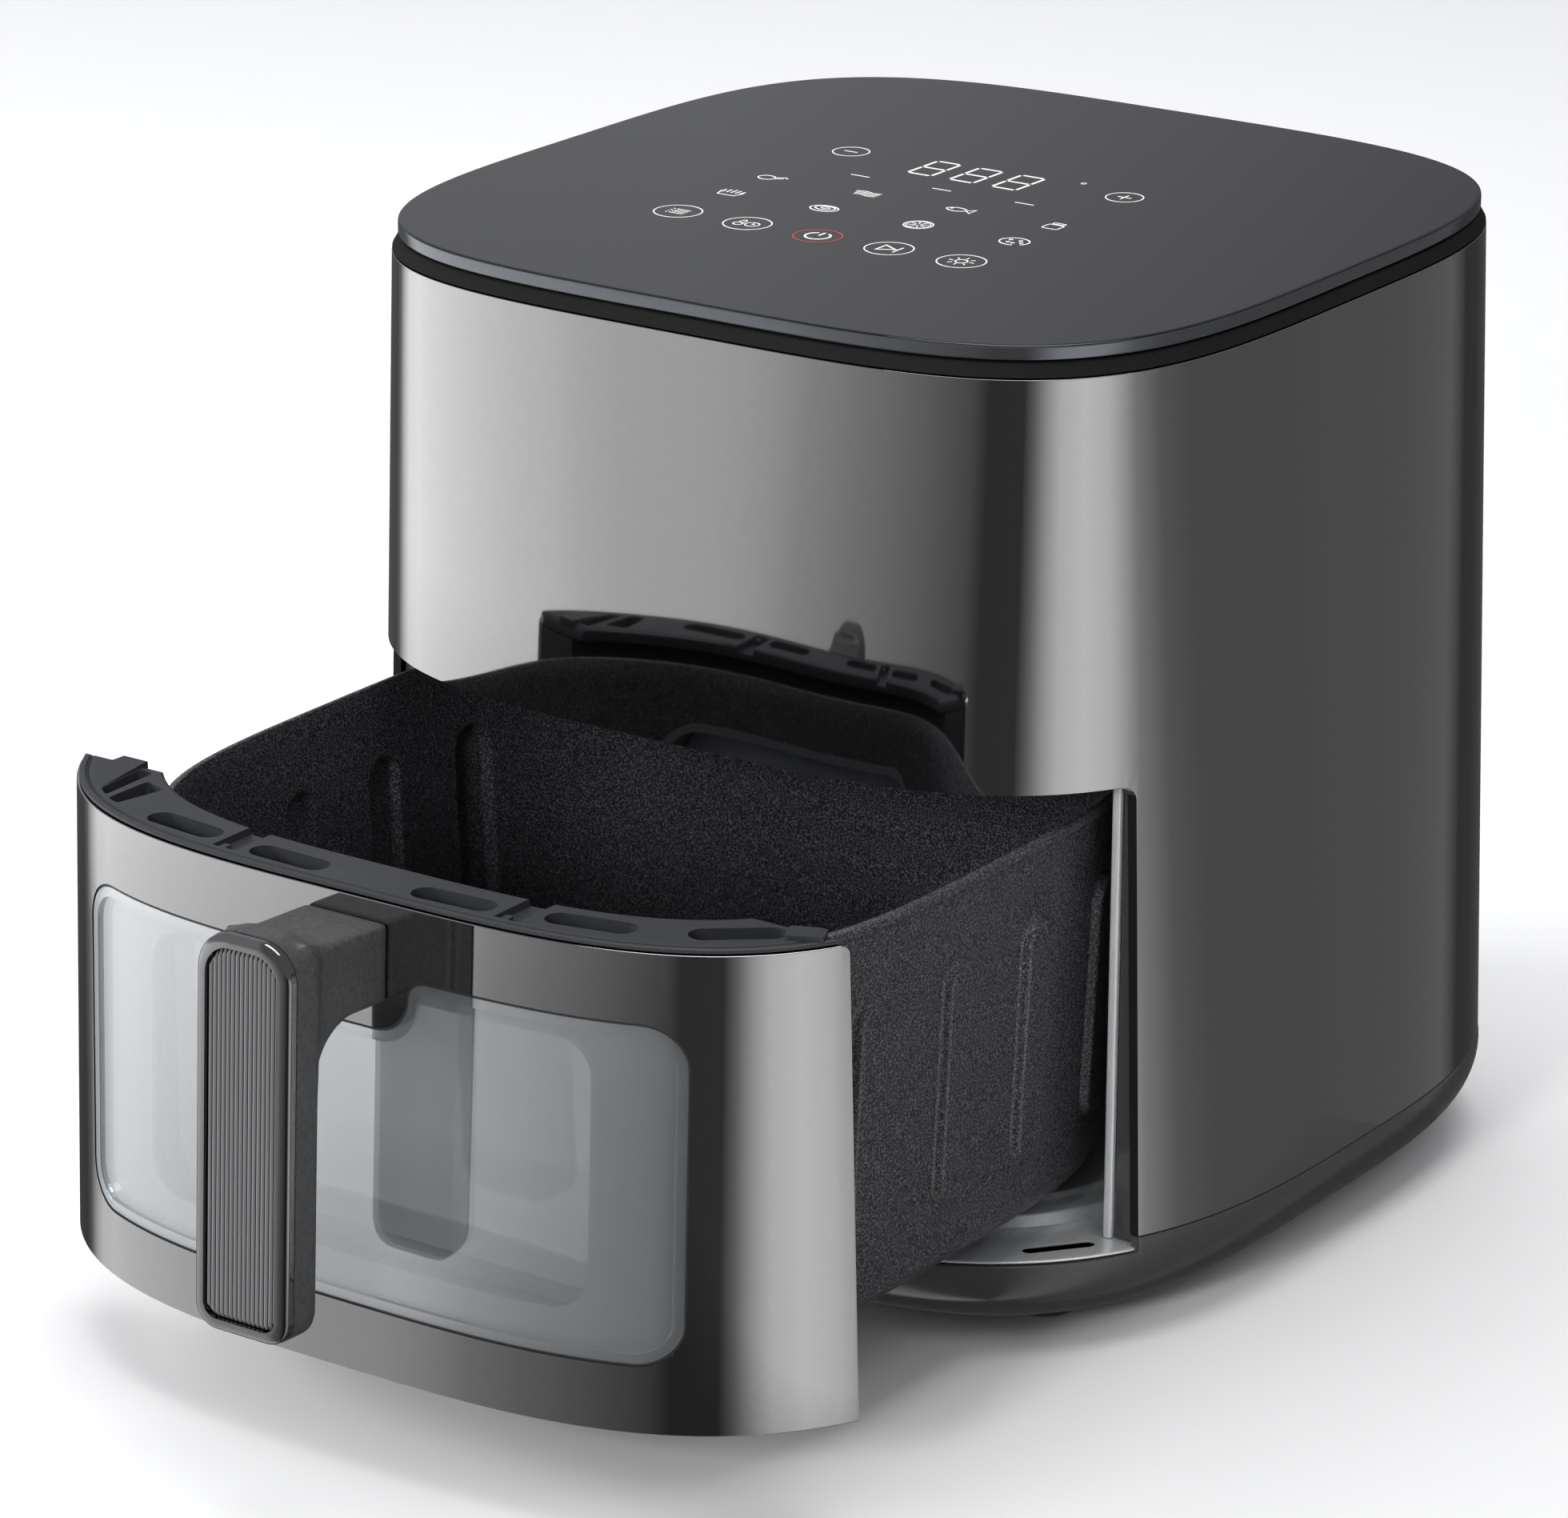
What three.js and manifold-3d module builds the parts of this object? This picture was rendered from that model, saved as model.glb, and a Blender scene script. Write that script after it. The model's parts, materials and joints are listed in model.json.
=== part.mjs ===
// Air fryer with a single pull-out drawer, glass window and vertical bar handle.
// Millimetres, +Z up, the drawer opens towards -Y, +X is to the right seen from the front.
// The origin is the centre of the footprint, on the surface that the feet stand on.
import * as THREE from "three";
import { mergeVertices } from "three/addons/utils/BufferGeometryUtils.js";
import Module from "manifold-3d";

const wasm = await Module();
wasm.setup();

// ---------------------------------------------------------------- driving dimensions
const SEGMENTS = 44;            // points round every body outline
const GAP = 0.3;                // clearance between touching pieces

const LID_TOP = 325.5;          // heights above the standing surface
const LID_UNDERSIDE = 320.6;
const SHELL_TOP = 315.4;
const FASCIA_EDGE = 185.1;
const COLLAR_TOP = 183.2;
const PANEL_TOP = 181.5;
const SEAM = 36.1;
const PANEL_BOTTOM = 32.6;
const FLOOR_TOP = 32;
const BASE_FRONT_RIM = 30.7;
const BASE_UNDERSIDE = 4;

const WALL = 2.5;               // moulded wall thickness
const BASE_TUCK = 32;           // how far the base curves in below the seam
const BASE_CURVE = 1.9;         // superellipse power of that curve

const LID_LOOP = { halfWidth: 150, front: 155, back: 147.9, sharpFront: 3.9, sharpBack: 3.8 };
const TOP_LOOP = { halfWidth: 151.7, front: 156.8, back: 149.6, sharpFront: 3.9, sharpBack: 3.8 };
const SEAM_LOOP = { halfWidth: 165.2, front: 170.4, back: 163.2, sharpFront: 3.07, sharpBack: 3.07 };
const BASE_LOOP = { ...SEAM_LOOP, sharpFront: 3.9, sharpBack: 3.9 };

const DRAWER_OPEN = 156;        // how far the drawer stands open
const OPENING_Y = -112.5;       // plane where the shell side ends and the drawer front begins
const CAVITY_HALF = 137.5;      // outside half width of the steel cavity
const CAVITY_INSET = 14;        // cavity wall to the outline of the housing
const CAVITY_BACK = 131;
const CAVITY_TOP = 258;
const CAVITY_FRONT = -108;
const CAVITY_SHEET = 1.2;

const PAN_LOOP = { halfWidth: 128.2, front: 131.2, back: 131.2, sharpFront: 3.7, sharpBack: 3.7 };
const PAN_Y = -10;
const PAN_RIM = 173.5;
const PAN_BOTTOM = 40.8;
const PAN_SHEET = 1.4;
const PAN_DRAFT = 6;            // how much narrower each side is at the bottom
const PAN_CORNER = 12;
const RIB_YS = [-73.2, -29.7, 13.8, 57.3];
const RIB_BOTTOM = 66.5;
const RIB_TOP = 148.5;
const RIB_WIDTH = 16;
const RIB_HEIGHT = 1.6;

const WINDOW = { halfWidth: 112.5, bottom: 53.5, top: 160, radius: 14 };
const TONGUE = { halfWidth: 22, drop: 17.5, shoulder: 6 };
const TUNNEL = { halfWidth: 82.5, bottom: 66.5, top: 151.5, radius: 12, wall: 3, front: -150, back: -130 };
const INNER_PANE = [145.5, 142.5];

const FRAME_BACK_INSET = 19;    // rear face of the drawer's inner frame
const POCKET_INSET = 16.5;
const COLLAR_INSET = 23;
const COLLAR_SLOTS = [            // x, depth in front of the centre, turn in degrees
  [-73.9, 148.2, -6], [-30.2, 152.6, -2], [31, 152.4, 3], [75.4, 145.4, 12], [115, 128, 38],
];
const SLOT_LENGTH = 29;
const SLOT_WIDTH = 9.5;
const NOTCH_XS = [-52, 53.3];
const POCKETS = [[-113.5, 128, 93], [-104.5, 134.5, 82]];   // x, depth, turn of the collar's pockets
const LUGS = [[-121.3, 122, 22, 7.5, 103], [133, 118, 9, 8, 20]];   // x, depth, length, width, turn
const LUG_TOP = 184.7;

const HANDLE_Z = 163.5;         // middle of the handle's stem
const HANDLE_REACH = 49;        // drawer front to the face of the grip
const GRIP = { width: 34.8, depth: 15, above: 16.6, below: 106.5, radius: 10 };
const STEM = { width: 31, height: 24.5 };
const GRIP_RIBS = 16;
const SCREW_X = 8;

const CONVECTION_FAN = { radius: 62, low: 237.5, high: 252, blades: 8, hub: 11 };
const COOLING_FAN = { radius: 46, low: 289, high: 298, blades: 9, hub: 9 };
const MOTOR = [260.9, 286];     // bottom and top of the motor above the cavity
const SHAFT = [234, 301];
const SHAFT_RADIUS = 3;
const SHAFT_HOLE = 9;
const BOARD = [303, 304.6];     // control board under the lid

const BOSS_X = 146;
const BOSS_YS = [-60, 60];
const FOOT_X = 108;
const FOOT_Y = 104;

const GLAND = [-70, 62];         // x and height of the cord gland
const REAR_REACH = 166.5;       // housing centre to the back of the cord gland
const FRONT_REACH = DRAWER_OPEN + 218.32;
const HOUSING_Y = (FRONT_REACH - REAR_REACH) / 2;

// ---------------------------------------------------------------- materials
const finish = (color, roughness, metalness) =>
  new THREE.MeshStandardMaterial({ color, roughness, metalness });
const GUNMETAL = finish(0x6b6a6a, 0.18, 0.6);
const BLACK_GLOSS = finish(0x3c3d40, 0.15, 0.1);
const BLACK_PLASTIC = finish(0x2b2c2f, 0.55, 0);
const LID_GLASS = finish(0x55575a, 0.12, 0.1);
const STEEL = finish(0x9ba3a8, 0.35, 0.9);
const NONSTICK = finish(0x37373a, 0.5, 0.2);
const CLEAR = finish(0xb9c0c4, 0.05, 0);
const GRIP_PLASTIC = finish(0x4a4a4b, 0.45, 0.1);
const DARK_CHROME = finish(0x77787a, 0.12, 0.95);
const RUBBER = finish(0x1d1d1f, 0.85, 0);
const HEATER_STEEL = finish(0x5d5a58, 0.45, 0.8);
const ALUMINIUM = finish(0xc3c6c9, 0.35, 0.9);
const CIRCUIT = finish(0x1f5a3a, 0.6, 0);
const MOTOR_STEEL = finish(0x83868a, 0.4, 0.8);

// ---------------------------------------------------------------- solids and booleans
function toSolid(geometry) {
  const bare = geometry.clone();
  for (const name of Object.keys(bare.attributes)) if (name !== "position") bare.deleteAttribute(name);
  const merged = mergeVertices(bare, 1e-4);
  const corners = [];
  const index = merged.index.array;
  for (let i = 0; i < index.length; i += 3) {
    const [a, b, c] = [index[i], index[i + 1], index[i + 2]];
    if (a !== b && b !== c && c !== a) corners.push(a, b, c);
  }
  return new wasm.Manifold(new wasm.Mesh({
    numProp: 3,
    vertProperties: new Float32Array(merged.attributes.position.array),
    triVerts: new Uint32Array(corners),
  }));
}

function toGeometry(solid) {
  const mesh = solid.getMesh();
  const geometry = new THREE.BufferGeometry();
  geometry.setAttribute("position", new THREE.BufferAttribute(new Float32Array(mesh.vertProperties), 3));
  geometry.setIndex(new THREE.BufferAttribute(new Uint32Array(mesh.triVerts), 1));
  geometry.computeVertexNormals();
  return geometry;
}

const union = (...solids) => solids.reduce((sum, next) => sum.add(next));
const without = (solid, ...tools) => tools.reduce((rest, tool) => rest.subtract(tool), solid);

function piece(name, solid, material) {
  const mesh = new THREE.Mesh(toGeometry(solid), material);
  mesh.name = name;
  return mesh;
}

// ---------------------------------------------------------------- shapes
// A closed surface through a stack of rings, bottom first, each counter-clockwise from above.
function loft(rings) {
  const count = rings[0].length;
  const positions = rings.flat().flatMap((p) => [p.x, p.y, p.z]);
  const index = [];
  for (let r = 0; r + 1 < rings.length; r++) {
    for (let i = 0; i < count; i++) {
      const j = (i + 1) % count;
      const [a, b, c, d] = [r * count + i, r * count + j, (r + 1) * count + j, (r + 1) * count + i];
      index.push(a, b, c, a, c, d);
    }
  }
  const capFan = (ring, first, upwards) => {
    const middle = ring.reduce((sum, p) => sum.add(p), new THREE.Vector3()).divideScalar(count);
    const hub = positions.length / 3;
    positions.push(middle.x, middle.y, middle.z);
    for (let i = 0; i < count; i++) {
      const [from, to] = [first + i, first + ((i + 1) % count)];
      if (upwards) index.push(hub, from, to);
      else index.push(hub, to, from);
    }
  };
  capFan(rings[0], 0, false);
  capFan(rings[rings.length - 1], (rings.length - 1) * count, true);
  const geometry = new THREE.BufferGeometry();
  geometry.setAttribute("position", new THREE.BufferAttribute(new Float32Array(positions), 3));
  geometry.setIndex(index);
  return toSolid(geometry);
}

function superellipse(loop, z, inset, middleY = 0) {
  const ring = [];
  for (let i = 0; i < SEGMENTS; i++) {
    const angle = (i / SEGMENTS) * Math.PI * 2;
    const [c, s] = [Math.cos(angle), Math.sin(angle)];
    const sharp = s < 0 ? loop.sharpFront : loop.sharpBack;
    const depth = (s < 0 ? loop.front : loop.back) - inset;
    ring.push(new THREE.Vector3(
      (loop.halfWidth - inset) * Math.sign(c) * Math.abs(c) ** (2 / sharp),
      middleY + depth * Math.sign(s) * Math.abs(s) ** (2 / sharp),
      z,
    ));
  }
  return ring;
}

// Outline of the housing at height z: the top loop widens in straight lines into the seam loop.
function shellRing(z, inset) {
  const mix = (SHELL_TOP - z) / (SHELL_TOP - SEAM);
  const upper = superellipse(TOP_LOOP, z, inset);
  const lower = superellipse(SEAM_LOOP, z, inset);
  return upper.map((point, i) => point.lerp(lower[i], mix));
}

function shellFront(z) {
  const mix = (SHELL_TOP - z) / (SHELL_TOP - SEAM);
  return -(TOP_LOOP.front + (SEAM_LOOP.front - TOP_LOOP.front) * mix);
}

const drafted = (low, high, inset) => loft([shellRing(low, inset), shellRing(high, inset)]);
const band = (low, high, outer, inner) =>
  drafted(low, high, outer).subtract(drafted(low - 1, high + 1, inner));

function box(x0, x1, y0, y1, z0, z1) {
  const geometry = new THREE.BoxGeometry(x1 - x0, y1 - y0, z1 - z0);
  return toSolid(geometry.translate((x0 + x1) / 2, (y0 + y1) / 2, (z0 + z1) / 2));
}

function cylinder(radius, z0, z1, x = 0, y = 0, sides = 14) {
  const geometry = new THREE.CylinderGeometry(radius, radius, z1 - z0, sides).rotateX(Math.PI / 2);
  return toSolid(geometry.translate(x, y, (z0 + z1) / 2));
}

function cylinderY(radius, y0, y1, x, z, sides = 16) {
  const geometry = new THREE.CylinderGeometry(radius, radius, y1 - y0, sides);
  return toSolid(geometry.translate(x, (y0 + y1) / 2, z));
}

function roundedRect(x0, x1, y0, y1, radius) {
  const shape = new THREE.Shape();
  shape.moveTo(x0 + radius, y0);
  shape.lineTo(x1 - radius, y0);
  shape.absarc(x1 - radius, y0 + radius, radius, -Math.PI / 2, 0);
  shape.lineTo(x1, y1 - radius);
  shape.absarc(x1 - radius, y1 - radius, radius, 0, Math.PI / 2);
  shape.lineTo(x0 + radius, y1);
  shape.absarc(x0 + radius, y1 - radius, radius, Math.PI / 2, Math.PI);
  shape.lineTo(x0, y0 + radius);
  shape.absarc(x0 + radius, y0 + radius, radius, Math.PI, Math.PI * 1.5);
  return shape;
}

function extrude(shape, depth, curveSegments = 4) {
  return new THREE.ExtrudeGeometry(shape, { depth, bevelEnabled: false, curveSegments });
}

// Prisms with the shape drawn in the XY, XZ and YZ planes.
function prismZ(shape, z0, z1, curveSegments) {
  return toSolid(extrude(shape, z1 - z0, curveSegments).translate(0, 0, z0));
}

function prismY(shape, y0, y1, curveSegments) {
  return toSolid(extrude(shape, y1 - y0, curveSegments).rotateX(Math.PI / 2).translate(0, y1, 0));
}

function prismX(shape, x0, x1, curveSegments) {
  const [alongY, alongZ, alongX] = [[0, 1, 0], [0, 0, 1], [1, 0, 0]].map((v) => new THREE.Vector3(...v));
  const turn = new THREE.Matrix4().makeBasis(alongY, alongZ, alongX);
  return toSolid(extrude(shape, x1 - x0, curveSegments).applyMatrix4(turn).translate(x0, 0, 0));
}

// ---------------------------------------------------------------- housing: outside
// Everything in front of the opening plane between two heights, with a rounded upper corner.
function openingTool(clearance, low, high, radius) {
  const shape = new THREE.Shape();
  const [back, front] = [OPENING_Y - clearance, -220];
  shape.moveTo(front, low);
  shape.lineTo(back, low);
  shape.lineTo(back, high - radius);
  shape.absarc(back - radius, high - radius, radius, 0, Math.PI / 2);
  shape.lineTo(front, high);
  return prismX(shape, -200, 200);
}

function screwBoss(side, y) {
  const boss = cylinder(5, FLOOR_TOP + 0.5, 60, side * BOSS_X, y, 12);
  const web = box(BOSS_X + 3, BOSS_X + 16, y - 1.5, y + 1.5, SEAM + 2, 60);
  const webOnSide = side > 0 ? web : box(-BOSS_X - 16, -BOSS_X - 3, y - 1.5, y + 1.5, SEAM + 2, 60);
  return boss.add(webOnSide).intersect(drafted(30, 62, WALL / 2));
}

const cornersOf = (xs, ys) => xs.flatMap((x) => ys.map((y) => [x, y]));
const ventShape = (margin) => roundedRect(-56 - margin, 56 + margin, 214 - margin, 286 + margin, 8);
const glandHole = (radius) => cylinderY(radius, 140, 175, ...GLAND);

function outerShell() {
  const skin = band(SEAM, SHELL_TOP, 0, WALL);
  const bosses = cornersOf([-1, 1], BOSS_YS).map(([side, y]) => screwBoss(side, y));
  const pilots = cornersOf([-BOSS_X, BOSS_X], BOSS_YS).map(([x, y]) => cylinder(2.2, 20, 52, x, y, 8));
  const opening = openingTool(0, 0, FASCIA_EDGE, 5);
  const vent = prismY(ventShape(GAP), 120, 175);
  return without(union(skin, ...bosses), opening, vent, glandHole(7.4), ...pilots);
}

function baseRings(inset, underside) {
  const steps = 4;
  const rings = [];
  for (let i = steps; i >= 0; i--) {
    const angle = (i / steps) * (Math.PI / 2);
    const tuck = BASE_TUCK * (1 - Math.cos(angle) ** (2 / BASE_CURVE));
    const z = SEAM - GAP - (SEAM - GAP - underside) * Math.sin(angle) ** (2 / BASE_CURVE);
    const mix = i / steps;
    const round = superellipse(SEAM_LOOP, z, tuck + inset);
    const square = superellipse(BASE_LOOP, z, tuck + inset);
    rings.push(round.map((point, k) => point.lerp(square[k], mix)));
  }
  return rings;
}

function baseTray() {
  const bowl = loft(baseRings(0, BASE_UNDERSIDE));
  const hollowRings = baseRings(WALL, BASE_UNDERSIDE + WALL);
  const aboveRim = hollowRings[hollowRings.length - 1].map((p) => p.clone().setZ(SEAM + 5));
  const hollow = loft([...hollowRings, aboveRim]);
  const posts = cornersOf([-BOSS_X, BOSS_X], BOSS_YS)
    .map(([x, y]) => cylinder(5.5, 12, FLOOR_TOP - 1.5, x, y, 8));
  const tray = union(bowl.subtract(hollow), union(...posts).intersect(loft(baseRings(1, BASE_UNDERSIDE))));
  const screwHoles = cornersOf([-BOSS_X, BOSS_X], BOSS_YS)
    .map(([x, y]) => union(cylinder(2.3, 0, 40, x, y, 8), cylinder(4.4, 0, 17, x, y, 8)));
  const footHoles = cornersOf([-FOOT_X, FOOT_X], [-FOOT_Y, FOOT_Y])
    .map(([x, y]) => cylinder(4.3, 0, 12, x, y, 8));
  const frontDip = openingTool(0, BASE_FRONT_RIM, 60, 0.5);
  return without(tray, frontDip, ...screwHoles, ...footHoles);
}

function baseScrew(x, y) {
  return union(cylinder(1.8, 16, 48, x, y, 8), cylinder(4, 13.5, 16.7, x, y, 8));
}

function foot(x, y) {
  return union(cylinder(12, 0, BASE_UNDERSIDE - GAP, x, y), cylinder(3.9, BASE_UNDERSIDE - 1, 10, x, y, 8));
}

function topPanel() {
  return loft([[LID_UNDERSIDE, 1], [LID_UNDERSIDE + 1, 0], [LID_TOP - 1, 0], [LID_TOP, 1]]
    .map(([z, inset]) => superellipse(LID_LOOP, z, inset)));
}

function lidCarrier() {
  const shoulder = loft([
    superellipse(TOP_LOOP, SHELL_TOP + GAP, 0.1),
    superellipse(LID_LOOP, LID_UNDERSIDE - GAP, 0),
  ]);
  const skirt = drafted(SHELL_TOP - 12, SHELL_TOP + 1, WALL + GAP);
  return union(shoulder, skirt).subtract(drafted(SHELL_TOP - 13, LID_UNDERSIDE - 3.3, WALL + 3));
}

// ---------------------------------------------------------------- housing: cavity
function cavityBlock(sheet, low, high) {
  const half = CAVITY_HALF - sheet;
  const straightSides = box(-half, half, CAVITY_FRONT + sheet, 40, low, high);
  const rounded = drafted(low, high, CAVITY_INSET + sheet);
  return union(rounded, straightSides).intersect(box(-half, half, -200, CAVITY_BACK - sheet, 0, 300));
}

// The heating element spirals in from the first leg to the second, both just outside the fan.
const ELEMENT_Z = 226;
const ELEMENT_TURNS = 1.9;
const ELEMENT_RADII = [92, 70];
const elementPoint = (along) => {
  const angle = Math.PI * (0.5 + 0.1 / 2) + along * ELEMENT_TURNS * Math.PI * 2;
  const radius = ELEMENT_RADII[0] + (ELEMENT_RADII[1] - ELEMENT_RADII[0]) * along;
  return new THREE.Vector3(radius * Math.cos(angle), radius * Math.sin(angle), ELEMENT_Z);
};
const ELEMENT_LEGS = [elementPoint(0), elementPoint(1)].map((p) => [p.x, p.y]);
const SENSOR = [75, 70];

function cavityLiner() {
  const shell = cavityBlock(0, FLOOR_TOP + GAP, CAVITY_TOP)
    .subtract(cavityBlock(CAVITY_SHEET, 20, CAVITY_TOP - CAVITY_SHEET));
  const mouth = box(-200, 200, -200, CAVITY_FRONT + CAVITY_SHEET, 0, FASCIA_EDGE + 2);
  const legHoles = ELEMENT_LEGS.map(([x, y]) => cylinder(4.5, 250, 262, x, y, 12));
  const sensorHole = cylinder(2.6, 250, 262, ...SENSOR, 10);
  return without(shell, mouth, cylinder(SHAFT_HOLE, 250, 262), sensorHole, ...legHoles);
}

function floorSlot(side) {
  const [length, width] = [24, 5];
  const slot = extrude(roundedRect(-length / 2, length / 2, -width / 2, width / 2, width / 2 - 0.01), 12);
  return toSolid(slot.rotateZ(side * 0.88).translate(side * 127.2, -125.7, 25));
}

function cavityFloorPlate() {
  const plateau = { ...PAN_LOOP, halfWidth: 134, front: 134, back: 134 };
  const steps = [[-1, 0], [4, 1.6], [4, 9], [5.8, 10.4]];
  const raised = (sink, inset) => loft(steps.map(([rise, offset]) =>
    superellipse(plateau, FLOOR_TOP + rise - sink, offset + inset, PAN_Y + 2)));
  const sheet = drafted(FLOOR_TOP - 1, FLOOR_TOP, 4.4);
  const lip = drafted(FLOOR_TOP - 1, FLOOR_TOP, 0.9).intersect(box(-200, 200, -200, OPENING_Y - 1, 0, 60));
  const screwHoles = cornersOf([-BOSS_X, BOSS_X], BOSS_YS).map(([x, y]) => cylinder(2.3, 20, 40, x, y, 10));
  const dished = union(sheet, lip, raised(0, 0)).subtract(raised(1, 1));
  return without(dished, floorSlot(-1), floorSlot(1), ...screwHoles);
}

function sideSlab(side, inner, y0, y1, z0, z1) {
  return side > 0 ? box(inner, 200, y0, y1, z0, z1) : box(-200, -inner, y0, y1, z0, z1);
}

function openingJamb(side) {
  const slab = sideSlab(side, CAVITY_HALF + GAP, OPENING_Y + 2.5, -98, FLOOR_TOP + GAP, FASCIA_EDGE + 4);
  return drafted(30, 200, WALL + 1.2).intersect(slab);
}

function cavityEdge(side) {
  const [near, far] = [134.2, CAVITY_HALF];
  const [x0, x1] = side > 0 ? [near, far] : [-far, -near];
  const shape = roundedRect(x0, x1, CAVITY_FRONT - 3.4, CAVITY_FRONT - GAP, 0.9);
  return prismZ(shape, FLOOR_TOP + GAP, FASCIA_EDGE, 3);
}

function fasciaRail() {
  const front = box(-104, 104, -200, OPENING_Y - 1, 0, 300);
  return band(FASCIA_EDGE + 0.9, FASCIA_EDGE + 3.9, WALL + 0.4, CAVITY_INSET - GAP).intersect(front);
}

// ---------------------------------------------------------------- housing: heater, fan, electrics
function heatingElement() {
  const curve = new THREE.CatmullRomCurve3(Array.from({ length: 37 }, (_, i) => elementPoint(i / 36)));
  const section = new THREE.Shape().absarc(0, 0, 3.4, 0, Math.PI * 2);
  const coil = new THREE.ExtrudeGeometry(section, { steps: 54, curveSegments: 3, extrudePath: curve });
  return union(toSolid(coil), ...ELEMENT_LEGS.map(([x, y]) => cylinder(3.2, ELEMENT_Z, 266, x, y, 8)));
}

function elementClip(number) {
  const turn = new THREE.Matrix4().makeRotationZ((number * Math.PI * 2) / 3 + 0.4);
  const bar = new THREE.BoxGeometry(56, 7, 1.5).translate(72, 0, ELEMENT_Z - 4.6);
  const post = new THREE.BoxGeometry(1.5, 7, 33.8).translate(99.2, 0, ELEMENT_Z + 11.7);
  return union(toSolid(bar.applyMatrix4(turn)), toSolid(post.applyMatrix4(turn)));
}

function heaterGuard() {
  const [low, high, wire] = [211, 213.4, 2.6];
  const rings = [52, 105].map((radius) =>
    cylinder(radius, low, high, 0, 0, 18).subtract(cylinder(radius - wire, low - 1, high + 1, 0, 0, 18)));
  const spokes = [0, 1, 2].map((i) => {
    const bar = new THREE.BoxGeometry(211, wire, high - low).rotateZ((i * Math.PI) / 3);
    return toSolid(bar.translate(0, 0, (low + high) / 2));
  });
  return union(...rings, ...spokes);
}

const ring = (outer, inner, z0, z1, sides = 32) =>
  cylinder(outer, z0, z1, 0, 0, sides).subtract(cylinder(inner, z0 - 1, z1 + 1, 0, 0, sides));

function fanWheel({ radius, low, high, blades, hub }) {
  const wheel = [cylinder(hub, low, high, 0, 0, 16), cylinder(radius, low, low + 1.2, 0, 0, 24)];
  for (let i = 0; i < blades; i++) {
    const blade = new THREE.BoxGeometry(radius - hub, 1.4, high - low).rotateZ(0.35);
    blade.translate((radius + hub) / 2 - 1, 0, (low + high) / 2).rotateZ((i / blades) * Math.PI * 2);
    wheel.push(toSolid(blade));
  }
  const trimmed = union(...wheel).intersect(cylinder(radius, low, high, 0, 0, 24));
  return trimmed.subtract(cylinder(SHAFT_RADIUS + 0.4, low - 1, high + 1, 0, 0, 12));
}

const motorShaft = () => union(
  cylinder(SHAFT_RADIUS, SHAFT[0], SHAFT[1], 0, 0, 12),
  cylinder(SHAFT_RADIUS + 2, SHAFT[0], CONVECTION_FAN.low - GAP, 0, 0, 12),
);
const fanMotor = () => ring(34, SHAFT_RADIUS + 0.7, MOTOR[0], MOTOR[1], 28);

function motorBracket() {
  const plate = prismZ(roundedRect(-70, 70, -20, 20, 8), CAVITY_TOP + 0.5, MOTOR[0] - 0.4, 4);
  return without(plate, cylinder(SHAFT_HOLE, CAVITY_TOP - 5, MOTOR[0] + 5));
}

function controlBoard() {
  const board = prismZ(roundedRect(-100, 84, -92, 52, 4), BOARD[0], BOARD[1], 3);
  const chips = [[-60, -20, 18], [20, -40, 14], [50, 20, 12]].map(([x, y, size]) =>
    box(x, x + size, y, y + size, BOARD[0] - 2, BOARD[0] + 0.5));
  return union(board, ...chips);
}

const displayModule = () => prismZ(roundedRect(-42, 30, 18, 46, 2), BOARD[1] + GAP, 314, 3);

function powerBoard() {
  const board = box(-62, 48, 134, 135.6, 92, 172);
  const parts = [                 // x, width, depth, height, bottom
    [-50, 22, 12, 20, 100], [-16, 20, 14, 26, 104], [14, 24, 11, 18, 138], [-46, 16, 13, 16, 140],
  ];
  return union(board, ...parts.map(([x, width, depth, height, z]) =>
    box(x, x + width, 135, 135.6 + depth, z, z + height)));
}

const temperatureSensor = () => union(
  cylinder(2, 236, 263, ...SENSOR, 10),
  cylinder(4.5, CAVITY_TOP + GAP, 261, ...SENSOR, 12),
);
const drawerSwitch = () => union(
  box(-148, -139, -95, -83, 150, 166),
  box(-144.5, -142.5, -97, -94, 156, 160),
);

function rearVentCover() {
  const plate = band(212, 288, -1.5, WALL - 0.5).intersect(prismY(ventShape(0), 120, 175));
  const louvres = [0, 1, 2, 3, 4].map((i) =>
    box(-46, 46, 120, 175, 224 + i * 11, 229 + i * 11));
  return without(plate, ...louvres);
}

function cordGland() {
  const flange = cylinderY(10, 161, REAR_REACH, ...GLAND);
  const barrel = cylinderY(7, 146, 163, ...GLAND);
  const nut = cylinderY(9.5, 146, 151, ...GLAND, 6);
  return union(flange, barrel, nut).subtract(glandHole(3.6));
}

// ---------------------------------------------------------------- drawer
// Window outline: a rounded rectangle with the handle's tongue hanging into its upper edge.
function windowShape(margin) {
  const { halfWidth, bottom, top, radius } = WINDOW;
  const [x, low, high, r] = [halfWidth - margin, bottom + margin, top - margin, radius - margin];
  const side = TONGUE.halfWidth + margin;
  const shoulder = TONGUE.shoulder - margin * 0.5;
  const round = TONGUE.drop - shoulder;
  const right = Math.PI / 2;
  const shape = new THREE.Shape();
  shape.moveTo(-x + r, low);
  shape.lineTo(x - r, low);
  shape.absarc(x - r, low + r, r, -right, 0);
  shape.lineTo(x, high - r);
  shape.absarc(x - r, high - r, r, 0, right);
  shape.lineTo(side + shoulder, high);
  shape.absarc(side + shoulder, high - shoulder, shoulder, right, Math.PI);
  shape.absarc(side - round, high - shoulder, round, 0, -right, true);
  shape.lineTo(-side + round, high - TONGUE.drop);
  shape.absarc(-side + round, high - shoulder, round, -right, -Math.PI, true);
  shape.absarc(-side - shoulder, high - shoulder, shoulder, 0, right);
  shape.lineTo(-x + r, high);
  shape.absarc(-x + r, high - r, r, right, Math.PI);
  shape.lineTo(-x, low + r);
  shape.absarc(-x + r, low + r, r, Math.PI, Math.PI + right);
  return shape;
}

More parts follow.
